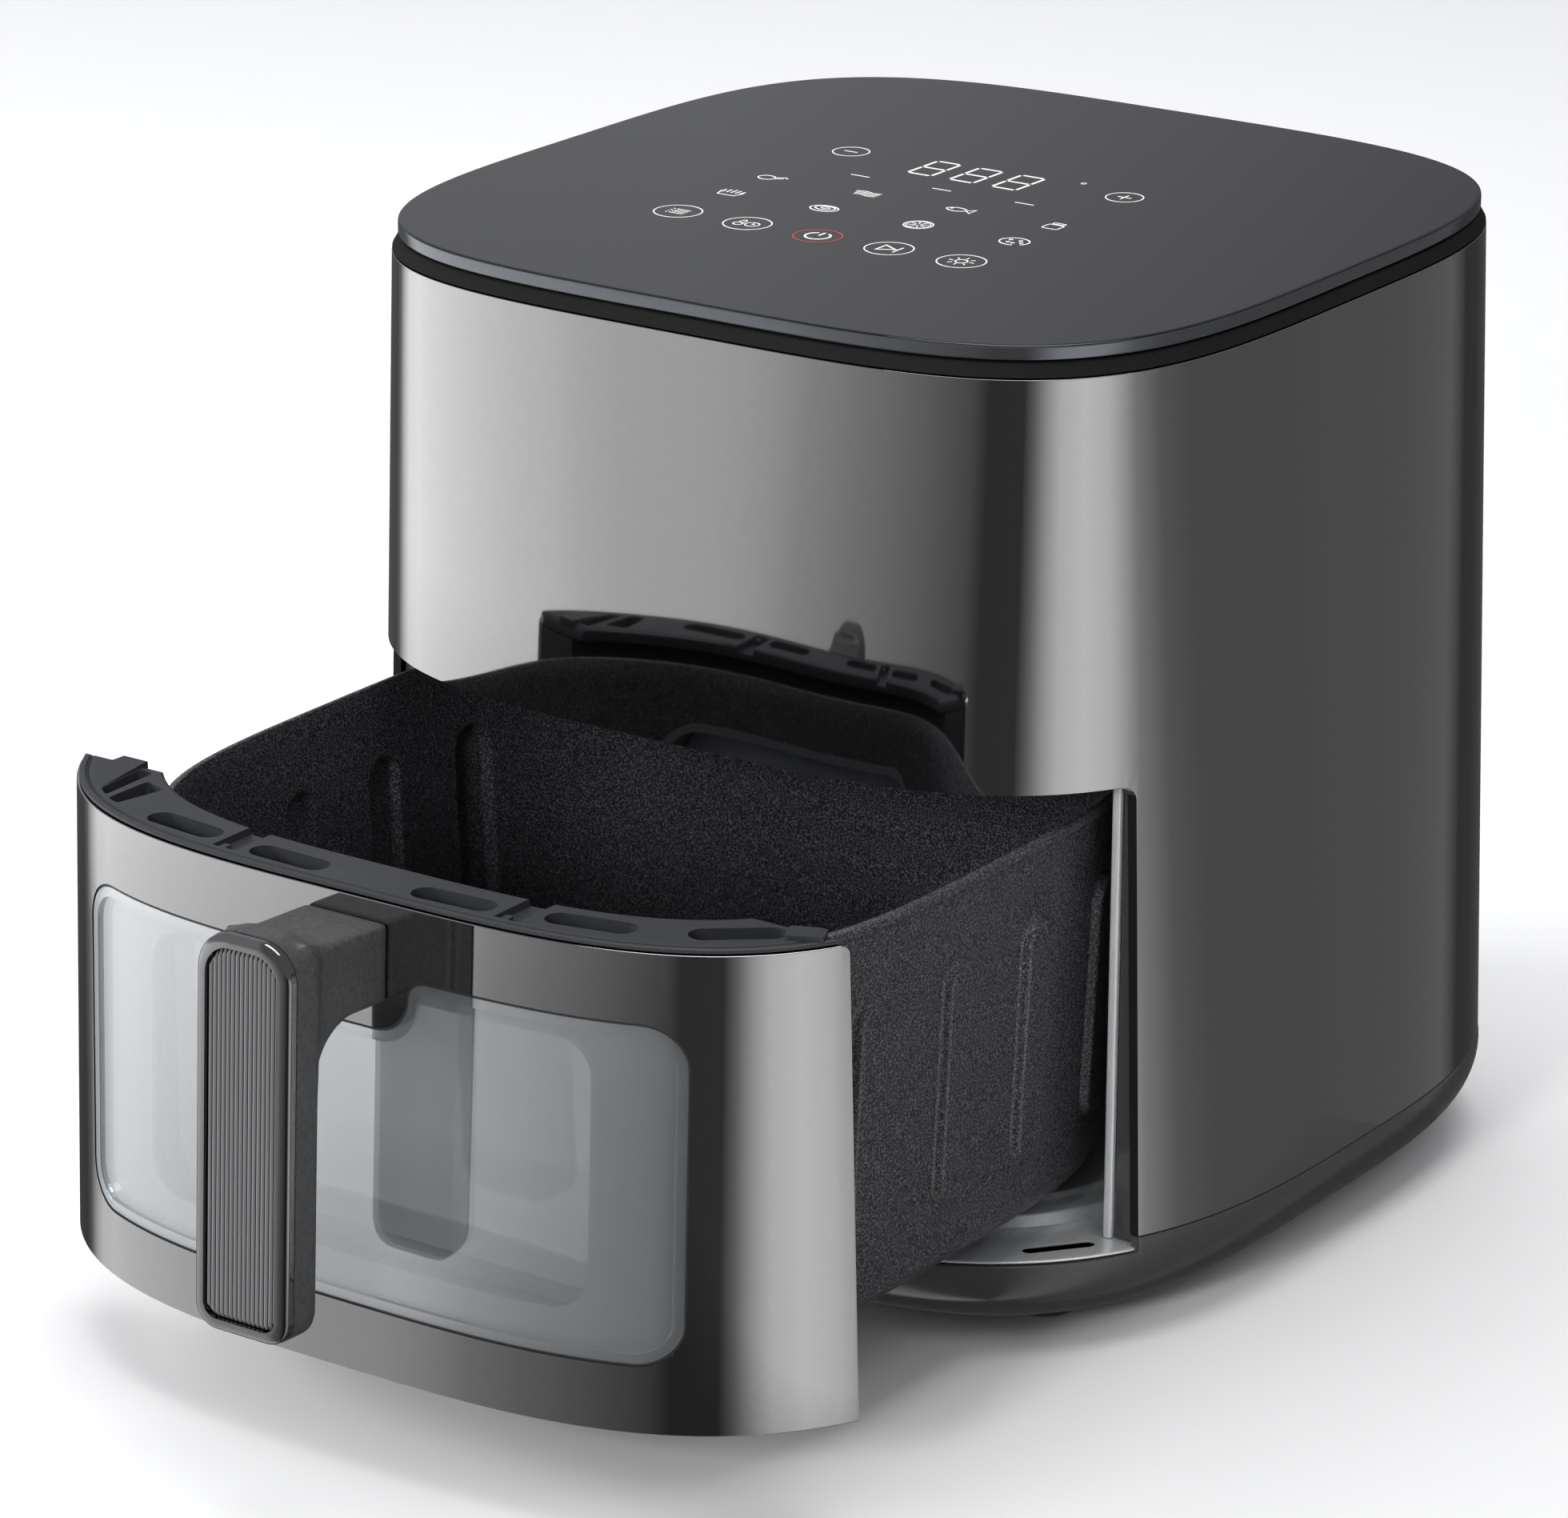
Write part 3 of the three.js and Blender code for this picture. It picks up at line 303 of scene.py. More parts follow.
def bump(tree, value, shader, height, strength=1.0):
    node = add_node(tree, "ShaderNodeBump", Strength=strength, Distance=height * MM)
    tree.links.new(value, node.inputs["Height"])
    tree.links.new(node.outputs["Normal"], shader.inputs["Normal"])


def scaled(color, factor):
    return tuple(min(1.0, channel * factor) for channel in color)


def plain(name, color, roughness, metallic=0.0, scale=900.0, rough_spread=0.05, color_spread=0.08,
          height=0.01, stretch=(1, 1, 1), **sockets):
    """A material with fine mottling in its colour, roughness and surface."""
    made, tree, shader = principled(name, color, roughness, metallic, **sockets)
    value = grain(tree, scale, 4.0, stretch)
    tint(tree, value, shader, scaled(color, 1 - color_spread), scaled(color, 1 + color_spread))
    broad = grain(tree, scale * 0.04, 2.0)
    drive(tree, broad, shader.inputs["Roughness"], roughness - rough_spread, roughness + rough_spread)
    if height:
        bump(tree, value, shader, height)
    return made


def sparkle(name):
    """Dark non-stick coating with fine light flecks and a slightly rough skin."""
    made, tree, shader = principled(name, (0.04, 0.04, 0.043), 0.4, Specular_IOR_Level=0.75)
    flecks = grain(tree, 1600.0, 1.0)
    skin = grain(tree, 1500.0, 2.0)
    tint(tree, flecks, shader, (0.017, 0.017, 0.0195), (0.14, 0.14, 0.152), (0.44, 0.78))
    drive(tree, skin, shader.inputs["Roughness"], 0.28, 0.44)
    bump(tree, skin, shader, 0.06)
    return made


def ridge_painted_light(name):
    """Moulded plastic with a painted highlight on its ridge tops and painted shade in its valleys, in step with the
    insert's ridges.
    """
    made, tree, shader = principled(name, (0.14, 0.14, 0.143), 0.3, Specular_IOR_Level=0.2)
    place = tree.nodes.new("ShaderNodeTexCoord")
    split = tree.nodes.new("ShaderNodeSeparateXYZ")
    tree.links.new(place.outputs["Object"], split.inputs[0])
    phase = add_node(tree, "ShaderNodeMath")
    phase.operation = "MULTIPLY"
    phase.inputs[1].default_value = 2 * math.pi * INSERT_RIBS / (2 * INSERT_HALF * MM)
    wave = tree.nodes.new("ShaderNodeMath")
    wave.operation = "COSINE"
    tree.links.new(split.outputs["X"], phase.inputs[0])
    tree.links.new(phase.outputs[0], wave.inputs[0])
    # Painted shade in the valleys and painted highlight on the ridge tops, following the ridge geometry.
    tint(tree, wave.outputs[0], shader, (0.19, 0.19, 0.194), (0.008, 0.008, 0.0085), (0.2, 0.7))
    drive(tree, grain(tree, 1600.0), shader.inputs["Roughness"], 0.25, 0.38)
    return made


def pane(name, reflect, haze, color):
    """Glass with a silvery reflection, a faint haze and a clear remainder."""
    made = bpy.data.materials.new(name)
    made.use_nodes = True
    tree = made.node_tree
    tree.nodes.remove(tree.nodes["Principled BSDF"])
    mirror = add_node(tree, "ShaderNodeBsdfGlossy", Color=(*color, 1.0), Roughness=0.02)
    clear = add_node(tree, "ShaderNodeBsdfTransparent", Color=(0.98, 0.985, 0.985, 1.0))
    mist = add_node(tree, "ShaderNodeBsdfDiffuse", Color=(*color, 1.0))
    smear = grain(tree, 30.0, 3.0, (1, 1, 0.3))
    first, second = add_node(tree, "ShaderNodeMixShader"), add_node(tree, "ShaderNodeMixShader", Fac=reflect)
    drive(tree, smear, first.inputs["Fac"], haze * 0.85, haze * 1.15)
    tree.links.new(clear.outputs[0], first.inputs[1])
    tree.links.new(mist.outputs[0], first.inputs[2])
    tree.links.new(first.outputs[0], second.inputs[1])
    tree.links.new(mirror.outputs[0], second.inputs[2])
    tree.links.new(second.outputs[0], tree.nodes["Material Output"].inputs["Surface"])
    return made


MATERIALS = {
    "gunmetal": plain("gunmetal", (0.47, 0.47, 0.47), 0.035, 1.0, 260, 0.006, 0.012, 0.0),
    "black_gloss": plain("black_gloss", (0.05, 0.05, 0.052), 0.12, 0.0, 400, 0.02, 0.05, 0.0, Coat_Weight=0.3),
    "lid_glass": plain("lid_glass", (0.006, 0.0065, 0.008), 0.05, 0.0, 300, 0.01, 0.03, 0.0),
    "black_plastic": plain("black_plastic", (0.032, 0.033, 0.0365), 0.42, 0.0, 1300, 0.06, 0.12, 0.03,
                           Specular_IOR_Level=0.26),
    "cavity_steel": plain("cavity_steel", (0.86, 0.875, 0.885), 0.3, 0.55, 700, 0.06, 0.06, 0.01, (1, 0.1, 1)),
    "heater_steel": plain("heater_steel", (0.2, 0.17, 0.15), 0.42, 1.0, 300, 0.08, 0.25, 0.02),
    "motor_steel": plain("motor_steel", (0.4, 0.41, 0.43), 0.4, 1.0, 500, 0.06, 0.1, 0.01),
    "circuit": plain("circuit", (0.02, 0.12, 0.06), 0.5, 0.0, 200, 0.08, 0.3, 0.02),
    "rubber": plain("rubber", (0.018, 0.018, 0.019), 0.75, 0.0, 1500, 0.06, 0.15, 0.05),
    "screw_steel": plain("screw_steel", (0.5, 0.51, 0.53), 0.3, 1.0, 900, 0.06, 0.08, 0.01),
    "aluminium": plain("aluminium", (0.7, 0.71, 0.73), 0.32, 1.0, 600, 0.06, 0.05, 0.01, (1, 0.2, 1)),
    "clear_glass": pane("clear_glass", 0.40, 0.065, (0.95, 0.975, 1.0)),
    "silicone": plain("silicone", (0.025, 0.025, 0.026), 0.6, 0.0, 1200, 0.05, 0.12, 0.02),
    "nonstick": sparkle("nonstick"),
    "grip_plastic": plain("grip_plastic", (0.052, 0.052, 0.053), 0.42, 0.0, 700, 0.09, 0.25, 0.03),
    "dark_chrome": plain("dark_chrome", (0.27, 0.27, 0.275), 0.07, 1.0, 500, 0.02, 0.03, 0.0),
    "grip_insert": ridge_painted_light("grip_insert"),
}
# Black plastic made darker and duller with painted shade, for the recess under the lid and the shell's cut edges.
RECESS_SHADE_BLACK = plain("recess_shade_black", (0.012, 0.012, 0.012), 0.6, 0.0, 900, 0.04, 0.1, 0.0, Specular_IOR_Level=0.05)
# A lighter, more reflective copy of the lid finish for the lid's sides: painted sheen.
LID_SIDE_SHEEN = plain("lid_side_sheen", (0.17, 0.18, 0.195), 0.09, 0.85, 500, 0.02, 0.03, 0.0)
TUNNEL_GREY = plain("tunnel_grey", (0.11, 0.115, 0.12), 0.35, 0.0, 700, 0.05, 0.06, 0.0)
STRIP_STEEL = plain("strip_steel", (0.84, 0.855, 0.865), 0.32, 0.5, 700, 0.05, 0.05, 0.0, (1, 1, 0.1))
MASK_GREY = plain("mask_grey", (0.215, 0.225, 0.24), 0.5, 0.0, 700, 0.05, 0.05, 0.0)
INNER_GLASS = pane("inner_glass", 0.6, 0.75, (0.96, 0.98, 1.0))
RIM_GLASS = pane("rim_glass", 0.42, 0.05, (0.95, 0.975, 1.0))


# ---------------------------------------------------------------- camera and light
def set_camera():
    azimuth, elevation, roll = (math.radians(a) for a in (34.50598, 19.16488, 0.27577))
    distance, shift_right, shift_up, focal = 2069.42, -54.044, -182.054, 7968.706
    back = Vector((math.sin(azimuth) * math.cos(elevation),
                   -math.cos(azimuth) * math.cos(elevation), math.sin(elevation)))
    right = Vector((0, 0, 1)).cross(back).normalized()
    up = back.cross(right)
    right_turned = right * math.cos(roll) + up * math.sin(roll)
    up_turned = up * math.cos(roll) - right * math.sin(roll)
    data = bpy.data.cameras.new("camera")
    data.sensor_width, data.lens = 36.0, focal * 36.0 / 1960
    data.clip_start, data.clip_end = 0.05, 50.0
    camera = bpy.data.objects.new("camera", data)
    bpy.context.scene.collection.objects.link(camera)
    turn = Matrix((right_turned, up_turned, back)).transposed()
    spot = Vector((0, HOUSING_Y, LID_TOP)) + right_turned * shift_right + up_turned * shift_up + back * distance
    camera.matrix_world = Matrix.Translation(spot * MM) @ turn.to_4x4()
    bpy.context.scene.camera = camera


# Studio brightness, as a display grey level, by compass direction in degrees from the front.
STUDIO = (
    (-180, 44), (-166, 52), (-150, 60), (-112, 60), (-106, 90), (-100, 168), (-94, 210), (-85, 219),
    (-64, 204), (-52, 192), (-40, 176), (-34, 151), (-28, 126), (-20, 110), (-10, 97), (2, 82),
    (14, 67), (19, 50), (21, 42), (38, 43), (44, 90), (50, 134), (58, 168), (71, 181),
    (84, 170), (92, 142), (98, 112), (110, 81), (122, 70), (146, 68), (162, 82), (170, 43),
)
SHEEN = 0.47            # reflectance of the gunmetal finish
SKY = (0.39, 0.2)       # brightness of the studio above the object, to the left and to the right
SKY_FADE = (-0.56, -0.44)
SOFT_LIGHT = 2.1        # how much brighter the studio is as a light than as a reflection


def linear(level):
    share = level / 255
    return ((share + 0.055) / 1.055) ** 2.4 if share > 0.04045 else share / 12.92


def set_world():
    world = bpy.data.worlds.new("studio")
    bpy.context.scene.world = world
    world.use_nodes = True
    tree = world.node_tree
    link = tree.links.new
    place = tree.nodes.new("ShaderNodeTexCoord")
    split = tree.nodes.new("ShaderNodeSeparateXYZ")
    link(place.outputs["Generated"], split.inputs[0])
    front = add_node(tree, "ShaderNodeMath")
    front.operation = "MULTIPLY"
    front.inputs[1].default_value = -1.0
    link(split.outputs["Y"], front.inputs[0])
    angle = tree.nodes.new("ShaderNodeMath")
    angle.operation = "ARCTAN2"
    link(split.outputs["X"], angle.inputs[0])
    link(front.outputs[0], angle.inputs[1])
    share = add_node(tree, "ShaderNodeMapRange", From_Min=-math.pi, From_Max=math.pi)
    link(angle.outputs[0], share.inputs["Value"])
    ramp = tree.nodes.new("ShaderNodeValToRGB")
    stops = ramp.color_ramp.elements
    for k, (degrees, level) in enumerate(STUDIO):
        position = (degrees + 180) / 360
        stop = stops[k] if k < 2 else stops.new(position)
        stop.position = position
        bright = linear(level) / SHEEN
        stop.color = (bright, bright, bright, 1.0)
    link(share.outputs["Result"], ramp.inputs["Fac"])
    height = add_node(tree, "ShaderNodeMapRange", From_Min=-0.02, From_Max=0.16)
    height.interpolation_type = "SMOOTHSTEP"
    link(split.outputs["Z"], height.inputs["Value"])
    blend = tree.nodes.new("ShaderNodeMix")
    blend.data_type = "RGBA"
    link(height.outputs["Result"], blend.inputs["Factor"])
    link(ramp.outputs["Color"], blend.inputs["A"])
    fade = add_node(tree, "ShaderNodeMapRange", From_Min=SKY_FADE[0], From_Max=SKY_FADE[1])
    link(split.outputs["X"], fade.inputs["Value"])
    sky = tree.nodes.new("ShaderNodeMix")
    sky.data_type = "RGBA"
    link(fade.outputs["Result"], sky.inputs["Factor"])
    for socket, level in (("A", SKY[0]), ("B", SKY[1])):
        sky.inputs[socket].default_value = (level, level * 1.01, level * 1.05, 1.0)
    link(sky.outputs["Result"], blend.inputs["B"])
    studio, backdrop = add_node(tree, "ShaderNodeBackground"), add_node(tree, "ShaderNodeBackground")
    link(blend.outputs["Result"], studio.inputs["Color"])
    backdrop.inputs["Color"].default_value = (0.93, 0.93, 0.93, 1.0)
    seen = tree.nodes.new("ShaderNodeLightPath")
    choose = tree.nodes.new("ShaderNodeMixShader")
    link(seen.outputs["Is Camera Ray"], choose.inputs["Fac"])
    lift = add_node(tree, "ShaderNodeMapRange", To_Min=1.0, To_Max=SOFT_LIGHT)
    link(seen.outputs["Is Diffuse Ray"], lift.inputs["Value"])
    link(lift.outputs["Result"], studio.inputs["Strength"])
    link(studio.outputs[0], choose.inputs[1])
    link(backdrop.outputs[0], choose.inputs[2])
    link(choose.outputs[0], tree.nodes["World Output"].inputs["Surface"])


def area_light(name, spot, target, size, power, seen_in_gloss=True):
    data = bpy.data.lights.new(name, "AREA")
    data.shape, data.size, data.size_y, data.energy = "RECTANGLE", *size, power
    lamp = bpy.data.objects.new(name, data)
    bpy.context.scene.collection.objects.link(lamp)
    aim = (Vector(target) - Vector(spot)).to_track_quat("-Z", "Y")
    lamp.matrix_world = Matrix.Translation(spot) @ aim.to_matrix().to_4x4()
    lamp.visible_camera = False
    lamp.visible_glossy = seen_in_gloss


def set_table_shade():
    """A sheet over the floor that only reflections see, tinting them with painted shade: the reflected table is darker
    near the drawer.
    """
    corners = ((-1.4, -1.6, 0.001), (0.35, -1.6, 0.001), (0.35, 0.2, 0.001), (-1.4, 0.2, 0.001))
    mesh = bpy.data.meshes.new("table_shade")
    mesh.from_pydata(corners, [], [(0, 1, 2, 3)])
    sheet = bpy.data.objects.new("table_shade", mesh)
    bpy.context.scene.collection.objects.link(sheet)
    made = bpy.data.materials.new("table_shade")
    made.use_nodes = True
    tree = made.node_tree
    tree.nodes.remove(tree.nodes["Principled BSDF"])
    place = tree.nodes.new("ShaderNodeTexCoord")
    centre = add_node(tree, "ShaderNodeMapping", Location=(0, 0.06, 0))
    reach = tree.nodes.new("ShaderNodeVectorMath")
    reach.operation = "LENGTH"
    split = tree.nodes.new("ShaderNodeSeparateXYZ")
    # Painted shade: reflections of the table darker close to the drawer, lighter further off and towards +X.
    dark = add_node(tree, "ShaderNodeMapRange", From_Min=0.32, From_Max=0.9, To_Min=0.62, To_Max=1.0)
    side = add_node(tree, "ShaderNodeMapRange", From_Min=0.05, From_Max=0.25)
    brighter = tree.nodes.new("ShaderNodeMath")
    brighter.operation = "MAXIMUM"
    clear = tree.nodes.new("ShaderNodeBsdfTransparent")
    tree.links.new(place.outputs["Object"], centre.inputs["Vector"])
    tree.links.new(centre.outputs["Vector"], reach.inputs[0])
    tree.links.new(reach.outputs["Value"], dark.inputs["Value"])
    tree.links.new(place.outputs["Object"], split.inputs[0])
    tree.links.new(split.outputs["X"], side.inputs["Value"])
    tree.links.new(dark.outputs["Result"], brighter.inputs[0])
    tree.links.new(side.outputs["Result"], brighter.inputs[1])
    tree.links.new(brighter.outputs[0], clear.inputs["Color"])
    tree.links.new(clear.outputs[0], tree.nodes["Material Output"].inputs["Surface"])
    mesh.materials.append(made)
    for hidden in ("camera", "diffuse", "transmission", "volume_scatter", "shadow"):
        setattr(sheet, "visible_" + hidden, False)


def set_floor():
    half = 12.0
    mesh = bpy.data.meshes.new("floor")
    mesh.from_pydata([(-half, -half, 0), (half, -half, 0), (half, half, 0), (-half, half, 0)], [], [(0, 1, 2, 3)])
    floor = bpy.data.objects.new("floor", mesh)
    bpy.context.scene.collection.objects.link(floor)
    mesh.materials.append(plain("pale_floor", (0.86, 0.86, 0.86), 0.9, 0.0, 40, 0.02, 0.004, 0.0))
    floor.visible_glossy = False


# ---------------------------------------------------------------- housing
def tube(name, outside, inside, ring, body="housing"):
    """A closed wall: the outside profile from the bottom up, then the inside from the top down."""
    return loft(name, [ring(z, inset) for z, inset in (*outside, *inside)], body, closed=True)


def rounded_wall(low, high, outer, inner, radius=0.6, rows=8):
    """Profile of a wall between two heights with rounded outer corners."""
    arc = [radius * (1 - math.sin(math.radians(a))) for a in (0, 30, 60, 90)]
    rise = [radius * (1 - math.cos(math.radians(a))) for a in (0, 30, 60, 90)]
    outside = [(low + up, outer + inward) for up, inward in zip(rise, arc)]
    outside += [(low + radius + (high - low - 2 * radius) * k / rows, outer) for k in range(1, rows)]
    outside += [(high - up, outer + inward) for up, inward in zip(reversed(rise), reversed(arc))]
    inside = [(high, inner - 0.3), (high - 0.3, inner), (low + 0.3, inner), (low, inner - 0.3)]
    return outside, inside


def opening_outline(clearance, low, high, radius):
    """Side view of everything in front of the opening plane, with its upper back corner rounded."""
    back, front = OPENING_Y - clearance, -230.0
    arc = [(back - radius + radius * math.cos(a), high - radius + radius * math.sin(a))
           for a in np.linspace(0, math.pi / 2, 10)]
    return [(front, low), (back, low), *arc, (front, high)]


def opening_tool(clearance, low, high, radius, body="housing"):
    return prism(opening_outline(clearance, low, high, radius), "X", -210, 210, body=body)


def build_shell():
    shell = tube("outer_shell_fine", *rounded_wall(SEAM, SHELL_TOP, 0, WALL, 0.25, 16), shell_ring)
    vent = prism(rounded_rect(-56.3, 56.3, 213.7, 286.3, 8), "Y", 120, 180)
    gland = prism([(-70 + 7.4 * math.cos(a), 62 + 7.4 * math.sin(a)) for a in np.linspace(0, 2 * math.pi, 33)[:-1]],
                  "Y", 120, 180)
    combine(shell, "DIFFERENCE", opening_tool(0, 0, FASCIA_EDGE, 5), vent, gland)
    soften(shell, 0.18, 2)
    finish_piece(shell, "housing", "gunmetal", "outer_shell")
    darken_cut(shell, lambda face: face.center.y / MM - HOUSING_Y < OPENING_Y + 1
               and (face.normal.y < -0.8 and abs(face.center.y / MM - HOUSING_Y - OPENING_Y) < 0.3
                    or face.normal.z < -0.8 and abs(face.center.z / MM - FASCIA_EDGE) < 0.3))


def darken_cut(made, chosen):
    """Gives the cut edge of the thin painted sheet the recess material, its black darkened with painted shade."""
    made.data.materials.append(RECESS_SHADE_BLACK)
    # Faces at the cut edge round the drawer opening take painted shade.
    for face in made.data.polygons:
        if chosen(face):
            face.material_index = len(made.data.materials) - 1


def base_rings(inset, underside, steps):
    rings = []
    for i in range(steps, -1, -1):
        angle = i / steps * math.pi / 2
        tuck = 32.0 * (1 - abs(math.cos(angle)) ** (2 / 1.9))
        z = SEAM - GAP - (SEAM - GAP - underside) * math.sin(angle) ** (2 / 1.9)
        mix = i / steps
        points = superellipse(SEAM_LOOP, tuck + inset) * (1 - mix) + superellipse(BASE_LOOP, tuck + inset) * mix
        rings.append(at_height(points, z))
    return rings


def build_base():
    outer = base_rings(0, BASE_UNDERSIDE, 22)
    inner = base_rings(WALL, BASE_UNDERSIDE + WALL, 12)
    lift = 0.01
    outer[-1][:, 2] -= lift
    bowl = loft("base_tray_fine", [*outer, *reversed(inner)])
    combine(bowl, "DIFFERENCE", opening_tool(0, BASE_FRONT_RIM, 60, 0.5))
    soften(bowl, 0.6, 2)
    finish_piece(bowl, "housing", "black_gloss", "base_tray")


def build_lid():
    profile = [(LID_UNDERSIDE, 0.9), (LID_UNDERSIDE + 0.15, 0.4), (LID_UNDERSIDE + 0.5, 0.1), (LID_UNDERSIDE + 1, 0),
               (LID_TOP - 1.0, 0), (LID_TOP - 0.45, 0.1), (LID_TOP - 0.12, 0.35), (LID_TOP, 0.8), (LID_TOP, 1.6),
               (LID_TOP, 4), (LID_TOP, 10)]
    base = [(LID_UNDERSIDE, 12.0), (LID_UNDERSIDE, 3.0)]
    lid = loft("top_panel_fine", [loop_ring(LID_LOOP, z, inset) for z, inset in (*base, *profile)])
    soften(lid, 0)
    finish_piece(lid, "housing", "lid_glass", "top_panel")
    # The lid's sides take the lighter copy of its finish, a painted sheen.
    lid.data.materials.append(LID_SIDE_SHEEN)
    for face in lid.data.polygons:
        face.material_index = int(abs(face.normal.z) < 0.6)
    outside = [(SHELL_TOP - 12, WALL + GAP), (SHELL_TOP + GAP, WALL + GAP)]
    outer_rings = [shell_ring(z, inset) for z, inset in outside]
    shoulder = [(TOP_LOOP, SHELL_TOP + GAP, 0.6), (TOP_LOOP, SHELL_TOP + GAP + 0.25, 0.15),
                (TOP_LOOP, SHELL_TOP + GAP + 0.6, 0.1), (LID_LOOP, LID_UNDERSIDE - GAP - 0.6, 0.1),
                (LID_LOOP, LID_UNDERSIDE - GAP, 0.9), (LID_LOOP, LID_UNDERSIDE - GAP, 6.0)]
    outer_rings += [loop_ring(loop, z, inset) for loop, z, inset in shoulder]
    outer_rings += [loop_ring(LID_LOOP, LID_UNDERSIDE - 3.3, 6.0), shell_ring(SHELL_TOP - 12, WALL + 3)]
    carrier = loft("lid_carrier_fine", outer_rings, closed=True)
    soften(carrier, 0)
    # The lid carrier wears the recess material: black plastic with painted shade.
    finish_piece(carrier, "housing", "black_plastic", "lid_carrier", material=RECESS_SHADE_BLACK)


def build_floor_plate():
    rings = []
    for z, inset in ((FLOOR_TOP - 0.6, 6.0), (FLOOR_TOP - 1, 1.4), (FLOOR_TOP - 0.8, 0.95), (FLOOR_TOP - 0.3, 0.9),
                     (FLOOR_TOP, 1.3), (FLOOR_TOP, 3.0)):
        ring = shell_ring(z, inset)
        share = np.clip((ring[:, 1] + 113) / 12, 0, 1)[:, None]
        rings.append(ring * (1 - share) + shell_ring(z, max(inset, 4.5)) * share)
    plateau = (134.0, 134.0, 134.0, 3.7, 3.7)
    steps = ((0, -0.8), (0.5, 0.1), (3.4, 1.4), (4, 2.2), (4, 8.6), (4.4, 9.3), (5.4, 10.1), (5.8, 11), (5.8, 40))
    rings += [loop_ring(plateau, FLOOR_TOP + rise, inset, PAN_Y + 2) for rise, inset in steps]
    under = ((4.8, 40), (4.8, 12), (3.0, 9.6), (3.0, 3.4), (-1.0, 1.6))
    rings += [loop_ring(plateau, FLOOR_TOP + rise, inset, PAN_Y + 2) for rise, inset in under]
    top = rings[:len(rings) - len(under)]
    # The sheet closes on itself: over the top to the middle, then back underneath.
    hole_rings = rings[len(top):]
    plate = loft("cavity_floor_plate_fine", [*top, *hole_rings], closed=True)
    for side in (-1, 1):
        slot = prism(rounded_rect(-12, 12, -2.5, 2.5, 2.49), "Z", 25, 40)
        turn = Matrix.Translation(Vector((side * 127.2, -125.7 + HOUSING_Y, 0)) * MM) @ Matrix.Rotation(side * 0.88, 4, "Z")
        slot.data.transform(Matrix.Translation((0, -HOUSING_Y * MM, 0)))
        placed(slot, turn)
        combine(plate, "DIFFERENCE", slot)
    soften(plate, 0.25, 2)
    finish_piece(plate, "housing", "cavity_steel", "cavity_floor_plate")
    middle = loft("cavity_floor_middle", [loop_ring(plateau, FLOOR_TOP + rise, inset, PAN_Y + 2)
                                          for rise, inset in ((4.9, 40.2), (4.9, 40.0), (5.8, 40.0), (5.8, 40.2))])
    soften(middle, 0)
    finish_piece(middle, "housing", "cavity_steel")


def build_jambs():
    for side, word in ((-1, "left"), (1, "right")):
        jamb = tube(f"opening_jamb_{word}_fine", *rounded_wall(FLOOR_TOP + 0.4, FASCIA_EDGE + 4, WALL + 1.2, 30, 0.2, 6),
                    shell_ring)
        near, far = CAVITY_HALF + GAP, 200
        outline = rounded_rect(*((near, far) if side > 0 else (-far, -near)), OPENING_Y + 2.5, -98, 0.8, 4)
        combine(jamb, "INTERSECT", prism(outline, "Z", 20, 200))
        soften(jamb, 0.4)
        finish_piece(jamb, "housing", "black_gloss", f"opening_jamb_{word}")
        x0, x1 = (134.2, CAVITY_HALF) if side > 0 else (-CAVITY_HALF, -134.2)
        strip = prism(rounded_rect(x0, x1, -111.4, -108.3, 1.3, 8), "Z", FLOOR_TOP + GAP, FASCIA_EDGE,
                      f"cavity_edge_{word}_fine")
        soften(strip, 0)
        finish_piece(strip, "housing", "cavity_steel", f"cavity_edge_{word}", material=STRIP_STEEL)


def build_rear():
    cover = tube("rear_vent_cover_fine", *rounded_wall(200, 300, -1.5, WALL - 0.5, 0.3, 12), shell_ring)
    combine(cover, "INTERSECT", prism(rounded_rect(-56, 56, 214, 286, 8), "Y", 120, 180))
    louvres = [prism(rounded_rect(-46, 46, 224 + k * 11, 229 + k * 11, 2.4, 6), "Y", 120, 180) for k in range(5)]
    combine(cover, "DIFFERENCE", *louvres)
    soften(cover, 0.6)
    finish_piece(cover, "housing", "black_plastic", "rear_vent_cover")
    profile = ((3.6, 140.2), (7, 140.2), (7, 160.6), (9.6, 160.6), (10, 161.2), (10, 165.2), (9.2, 166.3),
               (5.2, 166.5), (3.9, 165.8), (3.6, 165))
    angles = np.linspace(0, 2 * math.pi, 48, endpoint=False)
    rings = [np.column_stack([-70 + r * np.cos(angles), np.full(48, y + 6.0 if y < 150 else y), 62 - r * np.sin(angles)])
             for r, y in profile]
    gland = loft("cord_gland_fine", rings, closed=True)
    soften(gland, 0)
    finish_piece(gland, "housing", "rubber", "cord_gland")


def build_feet():
    angles = np.linspace(0, 2 * math.pi, 48, endpoint=False)
    for node, x, y in (("foot_front_left", -108, -104), ("foot_front_right", 108, -104),
                       ("foot_rear_left", -108, 104), ("foot_rear_right", 108, 104)):
        profile = ((9.6, 0.5), (10.2, 0), (11.2, 0), (11.9, 0.7), (12, 1.2), (12, 3.2), (11.6, 3.7), (4, 3.7), (3.8, 9.6), (3.2, 10))
        rings = [np.column_stack([x + r * np.cos(angles), y + r * np.sin(angles), np.full(48, z)]) for r, z in profile]
        foot = loft(node + "_fine", rings)
        soften(foot, 0)
        finish_piece(foot, "housing", "rubber", node)


# ---------------------------------------------------------------- lid symbols
PRINT_X, PRINT_BOTTOM, PRINT_TOP = -7.4, LID_TOP - 0.02, LID_TOP + 0.06


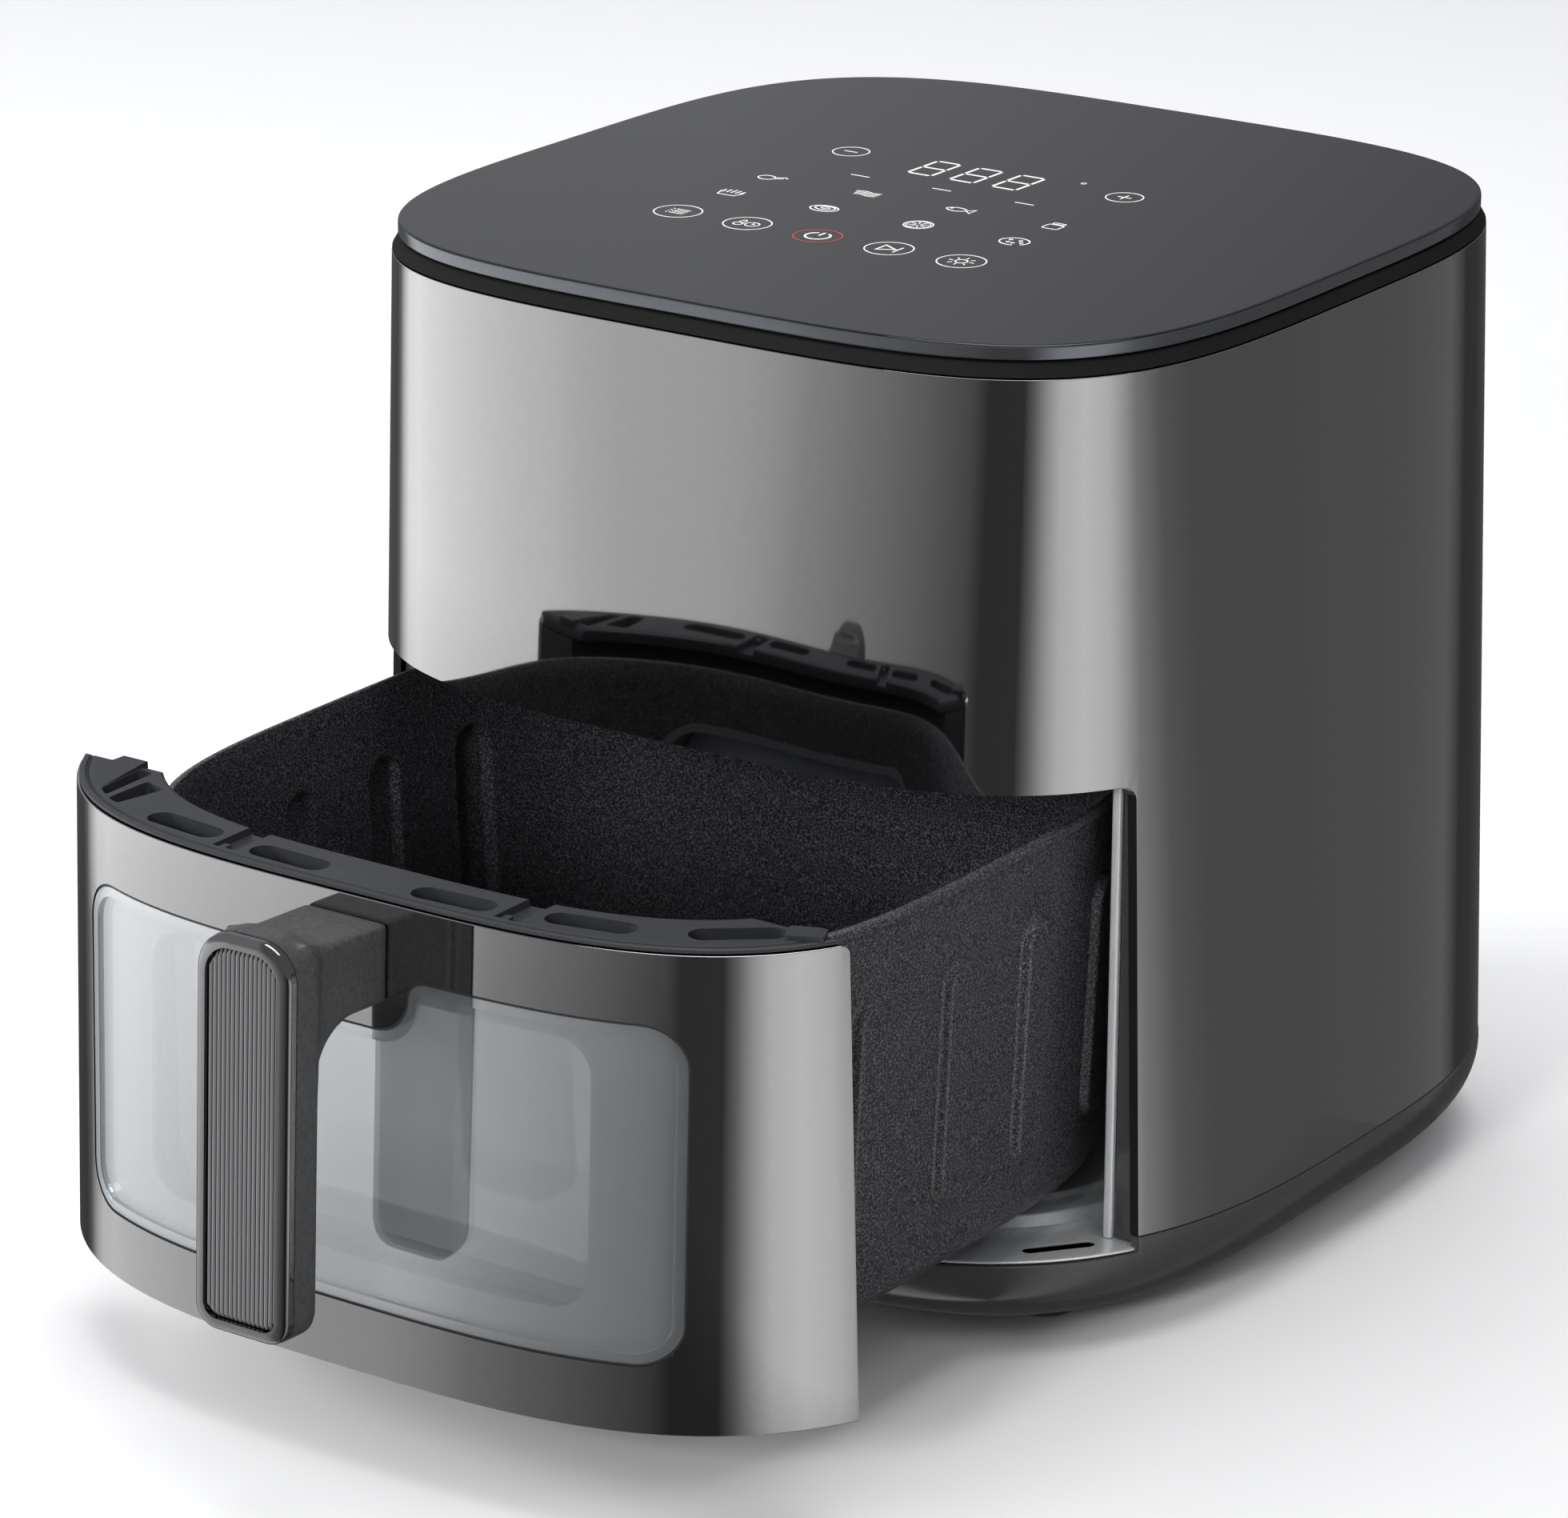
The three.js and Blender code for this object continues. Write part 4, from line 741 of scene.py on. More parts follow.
class Ink:
    """Collects flat printed strokes, each a thin solid ribbon."""

    def __init__(self):
        self.vertices, self.faces = [], []

    def stroke(self, points, width=0.5, closed=False):
        line = np.asarray(points, float)
        if closed:
            ahead, behind = np.roll(line, -1, 0), np.roll(line, 1, 0)
        else:
            ahead, behind = np.vstack([line[1:], line[-1:]]), np.vstack([line[:1], line[:-1]])
        forward, backward = ahead - line, line - behind
        if not closed:
            backward[0], forward[-1] = forward[0], backward[-1]
        forward /= np.linalg.norm(forward, axis=1)[:, None]
        backward /= np.linalg.norm(backward, axis=1)[:, None]
        tangent = forward + backward
        tangent /= np.linalg.norm(tangent, axis=1)[:, None]
        normal = np.column_stack([-tangent[:, 1], tangent[:, 0]])
        cosine = np.clip((tangent * forward).sum(1), 0.5, 1)[:, None]
        left, right = line + normal * width / 2 / cosine, line - normal * width / 2 / cosine
        first, count = len(self.vertices), len(line)
        for side, z in ((left, PRINT_TOP), (right, PRINT_TOP), (right, PRINT_BOTTOM), (left, PRINT_BOTTOM)):
            self.vertices += [(x, y, z) for x, y in side]
        for i in range(count if closed else count - 1):
            j = (i + 1) % count
            for band in range(4):
                low, high = first + band * count, first + ((band + 1) % 4) * count
                self.faces.append((low + i, high + i, high + j, low + j))
        if not closed:
            self.faces.append(tuple(first + band * count for band in (3, 2, 1, 0)))
            self.faces.append(tuple(first + band * count + count - 1 for band in (0, 1, 2, 3)))

    def arc(self, x, y, rx, ry=None, start=0.0, end=360.0, width=0.5):
        ry = ry or rx
        whole = end - start >= 360
        angles = np.radians(np.linspace(start, end, 49))
        points = [(x + rx * math.cos(a), y + ry * math.sin(a)) for a in angles]
        self.stroke(points[:-1] if whole else points, width, closed=whole)

    def piece(self, name):
        return new_object(name, self.vertices, self.faces)


def draw_digit(ink, x, y, wide=9.2, tall=18.4):
    gap, middle = 0.7, y + tall / 2
    slots = (((x + gap, y), (x + wide - gap, y)), ((x + gap, middle), (x + wide - gap, middle)),
             ((x + gap, y + tall), (x + wide - gap, y + tall)))
    for start, end in slots:
        ink.stroke((start, end), 1.0)
    for side in (x, x + wide):
        ink.stroke(((side, y + gap), (side, middle - gap)), 1.0)
        ink.stroke(((side, middle + gap), (side, y + tall - gap)), 1.0)


def draw_buttons(ink, red):
    spots = [PRINT_X + 27.2 * k for k in (-2, -1, 0, 1, 2)]
    y = -65.6
    for k, x in enumerate(spots):
        (red if k == 2 else ink).arc(x, y, 7.9, width=0.42)
    x = spots[0]
    for row in range(4):
        ink.stroke(((x - 1.9, y + 2.4 - row * 1.6), (x + 3.4, y + 2.4 - row * 1.6)), 0.4)
        ink.stroke(((x - 3.4, y + 2.4 - row * 1.6), (x - 2.7, y + 2.4 - row * 1.6)), 0.4)
    x = spots[1]
    ink.arc(x - 2.6, y - 1.6, 1.6, width=0.45)
    ink.stroke([(x - 3.4, y - 0.2), (x - 3.4, y + 2.6), (x - 2.6, y + 3.4), (x - 1.8, y + 2.6), (x - 1.8, y - 0.2)], 0.4)
    ink.arc(x + 2.0, y - 0.2, 2.4, width=0.45)
    ink.stroke(((x + 2.0, y + 1.2), (x + 2.0, y - 0.2), (x + 3.2, y - 0.2)), 0.4)
    x = spots[2]
    ink.arc(x, y, 4.1, start=118, end=422, width=0.75)
    ink.stroke(((x, y + 4.4), (x, y + 0.6)), 0.75)
    x = spots[3]
    ink.stroke(((x - 3.0, y - 3.1), (x + 2.4, y), (x - 3.0, y + 3.1)), 0.6, closed=True)
    ink.stroke(((x + 3.4, y - 3.2), (x + 3.4, y + 3.2)), 0.6)
    x = spots[4]
    ink.arc(x, y, 2.0, width=0.5)
    for k in range(8):
        c, s = math.cos(k * math.pi / 4), math.sin(k * math.pi / 4)
        ink.stroke(((x + 3.0 * c, y + 3.0 * s), (x + 4.6 * c, y + 4.6 * s)), 0.45)


def draw_icons(ink):
    """Two staggered rows of plain food pictures."""
    columns = [PRINT_X + 36.4 * k for k in (-1.5, -0.5, 0.5, 1.5)]
    high, low = -11.4, -35.2
    x, y = columns[0], high                      # drumstick
    ink.arc(x - 2.2, y - 0.6, 3.0, 2.5)
    ink.stroke(((x + 0.5, y + 0.6), (x + 3.4, y + 2.2), (x + 4.9, y + 1.4)), 0.5)
    ink.stroke(((x + 0.2, y - 1.2), (x + 3.6, y + 0.8)), 0.5)
    x, y = columns[1], high                      # strips
    for k in range(4):
        ink.stroke([(x - 4.8 + k * 0.5, y + 2.2 - k * 1.4), (x - 1.2, y + 2.9 - k * 1.4), (x + 1.8, y + 1.7 - k * 1.4),
                    (x + 5.0, y + 2.3 - k * 1.4)], 0.42)
    x, y = columns[2], high                      # fish
    ink.arc(x - 1.0, y - 2.4, 4.6, 4.6, 32, 148)
    ink.arc(x - 1.0, y + 2.5, 4.6, 4.6, 212, 328)
    ink.stroke(((x + 2.6, y), (x + 5.2, y + 2.3), (x + 5.2, y - 2.3)), 0.45, closed=True)
    ink.arc(x - 3.2, y + 0.6, 0.4, width=0.35)
    x, y = columns[3], high                      # jar
    ink.stroke(rounded_rect(x - 2.9, x + 2.9, y - 3.6, y + 1.6, 1.0, 4), 0.45, closed=True)
    ink.stroke(rounded_rect(x - 2.2, x + 2.2, y + 2.2, y + 3.7, 0.4, 3), 0.45, closed=True)
    x, y = columns[0], low                       # box of sticks
    ink.stroke(((x - 4.4, y + 0.6), (x - 3.2, y - 3.6), (x + 3.2, y - 3.6), (x + 4.4, y + 0.6)), 0.45)
    for k in range(5):
        ink.stroke(((x - 3.4 + k * 1.7, y - 0.6), (x - 3.8 + k * 1.9, y + 3.4 - abs(k - 2) * 0.5)), 0.6)
    x, y = columns[1], low                       # tart
    ink.arc(x, y, 5.0, 3.6)
    ink.arc(x, y + 0.6, 3.6, 2.3)
    ink.arc(x, y + 0.8, 1.6, 0.9, width=0.4)
    x, y = columns[2], low                       # fruit slice
    ink.arc(x, y, 4.8)
    ink.arc(x, y, 4.0, width=0.3)
    for k in range(8):
        c, s = math.cos((k + 0.5) * math.pi / 4), math.sin((k + 0.5) * math.pi / 4)
        ink.stroke(((x + 0.9 * c, y + 0.9 * s), (x + 3.6 * c, y + 3.6 * s)), 0.35)
    x, y = columns[3], low                       # biscuit
    ink.arc(x, y, 5.0, 4.4, -40, 290)
    for dx, dy in ((-2.2, 1.4), (0.4, -1.8), (1.4, 1.6), (-1.6, -1.4), (2.9, -0.6)):
        ink.arc(x + dx, y + dy, 0.55, width=0.35)


def build_print():
    ink, red = Ink(), Ink()
    draw_buttons(ink, red)
    draw_icons(ink)
    for x in (-30.6, -14.1, 2.4):
        draw_digit(ink, x, 20.9)
    for k in (-1, 0, 1):
        ink.stroke(((PRINT_X - 1 + 32 * k - 3.6, 7.6), (PRINT_X - 1 + 32 * k + 3.6, 7.6)), 0.55)
    for x in (PRINT_X - 54.2, PRINT_X + 53.0):
        ink.arc(x, 33.6, 6.2, width=0.42)
        ink.stroke(((x - 2.6, 33.6), (x + 2.6, 33.6)), 0.5)
    x = PRINT_X + 53.0
    ink.stroke(((x, 31.0), (x, 33.3)), 0.5)
    ink.stroke(((x, 33.9), (x, 36.2)), 0.5)
    ink.arc(25.0, 41.6, 0.8, width=0.35)
    # The white print gets a faint emission: a painted glow, since printed ink gives no light.
    white, _, _ = principled("print_white_glow", (0.82, 0.82, 0.82), 0.5, Emission_Color=(1, 1, 1, 1), Emission_Strength=0.1)
    crimson, _, _ = principled("print_red", (0.55, 0.05, 0.05), 0.5)
    for made, tree_source in ((white, 0.82), (crimson, 0.5)):
        tree, shader = made.node_tree, made.node_tree.nodes["Principled BSDF"]
        drive(tree, grain(tree, 900.0), shader.inputs["Roughness"], 0.42, 0.58)
    for inked, name, made in ((ink, "lid_symbols", white), (red, "lid_power_ring", crimson)):
        piece = inked.piece(name)
        finish_piece(piece, "housing", "lid_glass")
        piece.data.materials.clear()
        piece.data.materials.append(made)


# ---------------------------------------------------------------- drawer
def tunnel_outline(margin, radius_extra=0.0):
    half, bottom, top, radius, _ = TUNNEL
    return rounded_rect(-half - margin, half + margin, bottom - margin, top + margin, radius + margin)


def window_outline(margin, steps=9):
    """A rounded rectangle with the handle's tongue hanging into its upper edge, counter-clockwise."""
    half, low, high, r = 112.5 - margin, 53.5 + margin, 160 - margin, 14 - margin
    side, shoulder = 22 + margin, 6 - margin * 0.5
    drop = 17.5
    tip = drop - shoulder
    points = []

    def arc(x, y, radius, start, end):
        for k in range(steps + 1):
            a = math.radians(start + (end - start) * k / steps)
            points.append((x + radius * math.cos(a), y + radius * math.sin(a)))

    arc(half - r, low + r, r, -90, 0)
    arc(half - r, high - r, r, 0, 90)
    arc(side + shoulder, high - shoulder, shoulder, 90, 180)
    arc(side - tip, high - shoulder, tip, 0, -90)
    arc(-side + tip, high - shoulder, tip, -90, -180)
    arc(-side - shoulder, high - shoulder, shoulder, 0, 90)
    arc(-half + r, high - r, r, 90, 180)
    arc(-half + r, low + r, r, 180, 270)
    kept = [p for p, q in zip(points, points[1:] + points[:1]) if math.dist(p, q) > 1e-3]
    return kept


def front_half():
    return prism(rounded_rect(-200, 200, -230, -60, 1, 1), "Z", 0, 300, body="drawer")


def window_prism(margin):
    return prism(window_outline(margin), "Y", -200, -100, body="drawer")


def drawer_tube(name, low, high, outer, inner, radius=0.6, rows=8):
    return tube(name, *rounded_wall(low, high, outer, inner, radius, rows), shell_ring, "drawer")


def build_drawer_front():
    front = drawer_tube("drawer_front_fine", PANEL_BOTTOM, PANEL_TOP, 0, WALL, 0.3, 12)
    combine(front, "INTERSECT", opening_tool(0.5, 0, PANEL_TOP + 0.01, 3, "drawer"))
    combine(front, "DIFFERENCE", window_prism(0))
    soften(front, 0.25, 2)
    finish_piece(front, "drawer", "gunmetal", "drawer_front")


def build_window():
    """The curved outer pane, the dark seal round it, the grey border behind it and the flat inner pane."""
    glass = drawer_tube("window_outer_fine", 40, 175, 1.0, WALL - 0.1, 0.1, 10)
    combine(glass, "INTERSECT", window_prism(1.0), front_half())
    soften(glass, 0.2, 1)
    finish_piece(glass, "drawer", "clear_glass", "window_outer")
    rim = drawer_tube("window_rim", 40, 175, 0.15, 2.2, 0.1, 10)
    combine(rim, "INTERSECT", window_prism(0.9), front_half())
    combine(rim, "DIFFERENCE", window_prism(3.9))
    soften(rim, 0.95, 4)
    finish_piece(rim, "drawer", "clear_glass", material=RIM_GLASS)
    seal = drawer_tube("window_seal", 40, 175, 0.45, WALL + 0.4, 0.1, 10)
    combine(seal, "INTERSECT", window_prism(0.02), front_half())
    combine(seal, "DIFFERENCE", window_prism(0.85))
    soften(seal, 0)
    finish_piece(seal, "drawer", "silicone")
    gasket = drawer_tube("window_gasket_fine", 40, 175, WALL + 0.5, WALL + 2.5, 0.3, 10)
    combine(gasket, "INTERSECT", window_prism(-3))
    combine(gasket, "DIFFERENCE", window_prism(1.1))
    soften(gasket, 0.3)
    finish_piece(gasket, "drawer", "silicone", "window_gasket")
    border = drawer_tube("window_border", 40, 175, WALL + 1.2, WALL + 2.4, 0.1, 10)
    combine(border, "INTERSECT", window_prism(1.4))
    combine(border, "DIFFERENCE", prism(tunnel_outline(0), "Y", -200, -60, body="drawer"))
    soften(border, 0.3)
    finish_piece(border, "drawer", "black_plastic", material=MASK_GREY)
    inner = prism(tunnel_outline(-GAP), "Y", -145.5, -142.5, "window_inner_fine", "drawer")
    soften(inner, 0.4)
    finish_piece(inner, "drawer", "clear_glass", "window_inner", material=INNER_GLASS)


def build_drawer_inside():
    low, high = PANEL_BOTTOM + 1.4, COLLAR_TOP - 4.9
    block = drawer_tube("drawer_inner_frame_fine", low, high, WALL + 0.5, 19, 0.4, 8)
    pocket = drawer_tube("tool", low + 3, high - 3, WALL - 1, 16.5, 0.4, 8)
    combine(block, "INTERSECT", opening_tool(0.5, 0, high + 0.01, 1, "drawer"))
    combine(pocket, "INTERSECT", opening_tool(6, 0, high - 3, 1, "drawer"))
    slots = [turned_prism(slot_outline(29, 9.5), high - 5, high + 1, *spot) for spot in COLLAR_SLOTS]
    combine(block, "DIFFERENCE", pocket, prism(tunnel_outline(3.3), "Y", -200, -100, body="drawer"), *slots)
    soften(block, 0.4)
    finish_piece(block, "drawer", "black_plastic", "drawer_inner_frame")


def slot_outline(length, width):
    return rounded_rect(-length / 2, length / 2, -width / 2, width / 2, width / 2 - 0.01)


def turned_prism(points, low, high, x, depth, degrees):
    tool = prism(points, "Z", low, high, body="drawer")
    tool.data.transform(Matrix.Translation((0, -DRAWER_Y * MM, 0)))
    spot = Matrix.Translation(Vector((x, DRAWER_Y - depth, 0)) * MM)
    tool.data.transform(spot @ Matrix.Rotation(math.radians(degrees), 4, "Z"))
    return tool


def ramped(lug, low_y, high_y, rise):
    """Lowers the top of a lug towards the front, in proportion to its distance from the back."""
    for vertex in lug.data.vertices:
        y = vertex.co.y / MM - DRAWER_Y
        if vertex.co.z / MM > COLLAR_TOP:
            share = min(1.0, max(0.0, (y - low_y) / (high_y - low_y)))
            vertex.co.z = (COLLAR_TOP - 0.3 + (rise + 0.3) * share) * MM
    return lug


def build_collar():
    low, top = COLLAR_TOP - 4.6, COLLAR_TOP
    outside = ((low, 3.4), (low + 0.2, 3.0), (PANEL_TOP + 0.2, 3.0), (PANEL_TOP + GAP, 1.0), (PANEL_TOP + 0.5, 0.7),
               (top - 0.45, 0.7), (top - 0.1, 0.95), (top, 1.4), (top, 2.1), (top - 0.1, 2.35), (top - 0.6, 2.5),
               (top - 0.8, 2.9), (top - 0.6, 3.3), (top - 0.1, 3.5), (top + 0.1, 4.0), (top, 5.2), (top, 8), (top, 14),
               (top, 21.6))
    inside = ((top - 0.2, 22.5), (top - 0.8, 23), (low + 0.3, 23), (low, 22.7))
    collar = tube("drawer_collar_fine", outside, inside, shell_ring, "drawer")
    combine(collar, "INTERSECT", opening_tool(0.5, low - 8, top + 0.2, 3.5, "drawer"))
    wedge = prism(rounded_polygon(list(LEFT_WEDGE), 3.0), "Z", top - 1, LUG_TOP, body="drawer")
    right = turned_prism(rounded_rect(-6, 5.5, -4.2, 4, 1.2, 4), top - 1, LUG_TOP, 132.5, 118.2, 24)
    for lug in (ramped(wedge, -139, -118, LUG_TOP - top), right):
        combine(lug, "INTERSECT", opening_tool(0.5, low - 8, LUG_TOP + 0.1, 0.8, "drawer"))
    combine(collar, "UNION", wedge, right)
    slots = [turned_prism(slot_outline(29, 9.5), low - 1, top + 3, *spot) for spot in COLLAR_SLOTS]
    notches = [turned_prism(rounded_rect(-4.5, 4.5, -13.5, 13.5, 0.6, 3), top - 2.4, top + 1, x, 143.5, 0)
               for x in NOTCH_XS]
    pockets = [prism(rounded_polygon(list(outline), 1.8), "Z", low - 1, top + 3, body="drawer") for outline in POCKETS]
    combine(collar, "DIFFERENCE", *slots, *notches, *pockets)
    tabs = [turned_prism(rounded_rect(-3.0, -0.5, -1.7, 1.7, 0.5, 3), top - 3, top - 0.6, x, 154.2, 0)
            for x in NOTCH_XS]
    combine(collar, "UNION", *tabs)
    soften(collar, 0.7, 3, 42)
    finish_piece(collar, "drawer", "black_plastic", "drawer_collar")


def pan_levels():
    return np.concatenate([np.linspace(60, 155, 92), np.linspace(157, PAN_RIM - 5, 6)])


def pan_outline():
    """Outline parameters: dense along the two ribbed sides, even round the corners."""
    dense = superellipse(PAN_LOOP, 0)
    loop = np.vstack([dense, dense[:1]])
    steps = np.linalg.norm(np.diff(loop, axis=0), axis=1)
    side = (np.abs(loop[:-1, 0]) > 118) & (loop[:-1, 1] > -95) & (loop[:-1, 1] < 80)
    weight = np.concatenate([[0.0], np.cumsum(steps * np.where(side, 6.0, 1.0))])
    wanted = np.linspace(0, weight[-1], 760, endpoint=False)
    return np.interp(wanted, weight, np.arange(len(weight)))


PAN_PLACES = pan_outline()


def pan_ring(z, inset, embossed=True):
    drafted = PAN_DRAFT * (PAN_RIM - z) / (PAN_RIM - PAN_BOTTOM) if z < PAN_RIM else 0.0
    dense = superellipse(PAN_LOOP, inset + drafted)
    loop = np.vstack([dense, dense[:1]])
    index = np.arange(len(loop))
    ring = np.column_stack([np.interp(PAN_PLACES, index, loop[:, 0]), np.interp(PAN_PLACES, index, loop[:, 1]) + PAN_Y])
    if embossed:
        rise = np.zeros(len(ring))
        for y in RIB_YS:
            gap = np.hypot(ring[:, 1] - y, max(0.0, RIB_BOTTOM + 8 - z, z - RIB_TOP + 8))
            share = np.clip((RIB_HALF - gap) / 2.5, 0, 1)
            rise = np.maximum(rise, share * share * (3 - 2 * share))
        ring[:, 0] += np.sign(ring[:, 0]) * rise * RIB_HEIGHT * (np.abs(ring[:, 0]) > 100)
    return np.column_stack([ring, np.full(len(ring), float(z))])


def build_pan():
    rings = []
    corner = PAN_CORNER
    angles = np.linspace(0, math.pi / 2, 9)
    rings += [pan_ring(PAN_BOTTOM, inset, False) for inset in (40.0, 20.0)]
    rings += [pan_ring(PAN_BOTTOM + corner * (1 - math.cos(a)), corner * (1 - math.sin(a)), False) for a in angles]
    rings += [pan_ring(z, 0) for z in pan_levels()]
    bead = ((-4.6, 0.0), (-4.2, -0.5), (-3.5, -1.5), (-2.6, -1.8), (-1.2, -1.7), (-0.4, -1.1), (0, -0.1), (0, 0.6), (-0.4, 1.1))
    rings += [pan_ring(PAN_RIM + rise, inset, False) for rise, inset in bead]
    rings += [pan_ring(z, PAN_SHEET) for z in reversed(pan_levels())]
    corner -= PAN_SHEET
    rings += [pan_ring(PAN_BOTTOM + PAN_SHEET + corner * (1 - math.cos(a)), PAN_SHEET + corner * (1 - math.sin(a)), False)
              for a in reversed(angles)]
    rings += [pan_ring(PAN_BOTTOM + PAN_SHEET, inset, False) for inset in (20.0, 40.0)]
    pan = loft("pan_fine", rings, "drawer")
    combine(pan, "DIFFERENCE", prism(tunnel_outline(3.3), "Y", -200, -100, body="drawer"))
    soften(pan, 0)
    finish_piece(pan, "drawer", "nonstick", "pan")


def build_crisper():
    levels = ((57.0, 0.5), (57.3, 0.1), (58.2, 0.1), (58.6, 0.5))
    rings = [loop_ring(CRISPER_LOOP, 57.0, 6, PAN_Y)]
    rings += [loop_ring(CRISPER_LOOP, z, inset, PAN_Y) for z, inset in levels]
    rings += [loop_ring(CRISPER_LOOP, 58.6, 6, PAN_Y)]
    plate = loft("crisper_plate_fine", rings, "crisper")
    vertices, faces = [], []
    pitch, angles = 19.0, np.linspace(0, 2 * math.pi, 20, endpoint=False)
    for row in range(-5, 6):
        for column in range(-5, 6):
            x, y = column * pitch, PAN_Y + row * pitch
            if abs(row) + abs(column) > 8 or (abs(row) < 1 and abs(column) < 2):
                continue
            first = len(vertices)
            for z in (56.0, 59.6):
                vertices += [(x + 4.0 * math.cos(a), y + 4.0 * math.sin(a), z) for a in angles]
            faces += [(first + i, first + (i + 1) % 20, first + 20 + (i + 1) % 20, first + 20 + i) for i in range(20)]
            faces += [tuple(first + i for i in reversed(range(20))), tuple(first + 20 + i for i in range(20))]
    combine(plate, "DIFFERENCE", new_object("tool", vertices, faces, "crisper"))
    clips = [prism(rounded_rect(x - 5, x + 5, y - 5, y + 5, 0.5, 2), "Z", 56, 60, body="crisper")
             for x, y in ((-116.2, -10), (116.2, -10), (0, 109.2), (0, -129.2))]
    pins = [prism(rounded_rect(x - 1.9, x + 1.9, PAN_Y - 1.9, PAN_Y + 1.9, 1.89, 5), "Z", 56, 60, body="crisper")
            for x in (-10, 10)]
    combine(plate, "DIFFERENCE", *clips, *pins)
    soften(plate, 0.3)
    finish_piece(plate, "crisper", "nonstick", "crisper_plate")
    curve = [(-10, 56.4), (-10, 70.4), (-9.2, 74.6), (-6.6, 77.4), (-3.4, 78.3), (0, 78.4)]
    curve += [(-x, z) for x, z in reversed(curve[:-1])]
    path = resample_open(np.array(curve), 40)
    sections = []
    for k, (x, z) in enumerate(path):
        ahead, behind = path[min(k + 1, 39)], path[max(k - 1, 0)]
        tangent = (ahead - behind) / np.linalg.norm(ahead - behind)
        normal = np.array([tangent[1], -tangent[0]])
        sections.append([(x + normal[0] * 1.5 * math.cos(a), PAN_Y + 1.5 * math.sin(a), z + normal[1] * 1.5 * math.cos(a))
                         for a in np.linspace(0, 2 * math.pi, 14, endpoint=False)])
    bail = loft("lift_loop_fine", [np.array(s) for s in sections], "crisper")
    soften(bail, 0)
    finish_piece(bail, "crisper", "screw_steel", "lift_loop")


def resample_open(points, count):
    steps = np.linalg.norm(np.diff(points, axis=0), axis=1)
    along = np.concatenate([[0.0], np.cumsum(steps)])
    wanted = np.linspace(0.0, along[-1], count)
    return np.stack([np.interp(wanted, along, points[:, k]) for k in range(points.shape[1])], 1)


# ---------------------------------------------------------------- handle
LEAN = math.atan((SEAM_LOOP[1] - TOP_LOOP[1]) / (SHELL_TOP - SEAM))


def on_front(made):
    """Moves a mesh made round the handle's middle onto the leaning drawer front."""
    spot = Matrix.Translation(Vector((0, DRAWER_Y + shell_front(HANDLE_Z), HANDLE_Z)) * MM)
    back = Matrix.Translation((0, -DRAWER_Y * MM, 0))
    made.data.transform(spot @ Matrix.Rotation(-LEAN, 4, "X") @ back)
    return made


def grip_outline(margin, steps=12):
    """Front view of the grip: a tall rounded bar with larger corners at the top."""
    half, top, foot = GRIP_WIDTH / 2 - margin, GRIP_TOP_RADIUS - margin * 0.8, GRIP_FOOT_RADIUS - margin * 0.8
    points = []
    for x, z, radius, start in ((half - foot, -GRIP_BELOW + margin + foot, foot, -90),
                                (half - top, GRIP_ABOVE - margin - top, top, 0),
                                (top - half, GRIP_ABOVE - margin - top, top, 90),
                                (foot - half, -GRIP_BELOW + margin + foot, foot, 180)):
        for k in range(steps + 1):
            angle = math.radians(start + 90 * k / steps)
            points.append((x + radius * math.cos(angle), z + radius * math.sin(angle)))
    return points


def stem_outline():
    back, half = -(HANDLE_REACH - GRIP_DEPTH), 12.25
    points = [(0.1, -half), (0.1, half), (back + 8, half)]
    points += [bezier((back + 8, half), (back + 2, half + 0.4), (back - 3, half + 3), t) for t in (0.25, 0.5, 0.75, 1)]
    points += [(back - 4, half + 3), (back - 4, -half - 24), (back, -half - 24)]
    points += [bezier((back, -half - 24), (back + 1, -half - 3), (back + 17, -half), t) for t in np.linspace(0.1, 1, 10)]
    return list(reversed(points))


def build_handle():
    front, seat = -(HANDLE_REACH - 4.2), -GAP
    stem = prism(stem_outline(), "X", -15.5, 15.5, "handle_body_fine", "drawer")
    bar = prism(grip_outline(-0.3), "Y", front - 9, -(HANDLE_REACH - GRIP_DEPTH), body="drawer")
    combine(stem, "UNION", bar)
    mesh_again = stem.modifiers.new("remesh", "REMESH")
    mesh_again.mode, mesh_again.voxel_size = "VOXEL", 0.8 * MM
    relax = stem.modifiers.new("relax", "SMOOTH")
    relax.factor, relax.iterations = 0.5, 36
    bake(stem)
    keep = prism(rounded_rect(-60, 60, -200, 100, 1, 1), "Y", front, seat, body="drawer")
    combine(stem, "INTERSECT", keep)
    soften(stem, 0, sharp=55)
    on_front(stem)
    finish_piece(stem, "drawer", "grip_plastic", "handle_body")
    face, depth = -HANDLE_REACH, 3.9
    slope = [(HOOP * (1 - math.cos(a)), 2.1 * (1 - math.sin(a))) for a in np.linspace(0, math.pi / 2, 14)]
    section = ((0, depth), *slope, (HOOP, 0.5), (HOOP, depth))
    rings = [np.array([(x, face + deep, z) for x, z in grip_outline(margin)]) for margin, deep in section]
    hoop = loft("handle_frame_fine", rings, "drawer", closed=True)
    hoop.data.flip_normals()
    soften(hoop, 0)
    on_front(hoop)
    finish_piece(hoop, "drawer", "dark_chrome", "handle_frame")
    build_insert(face)


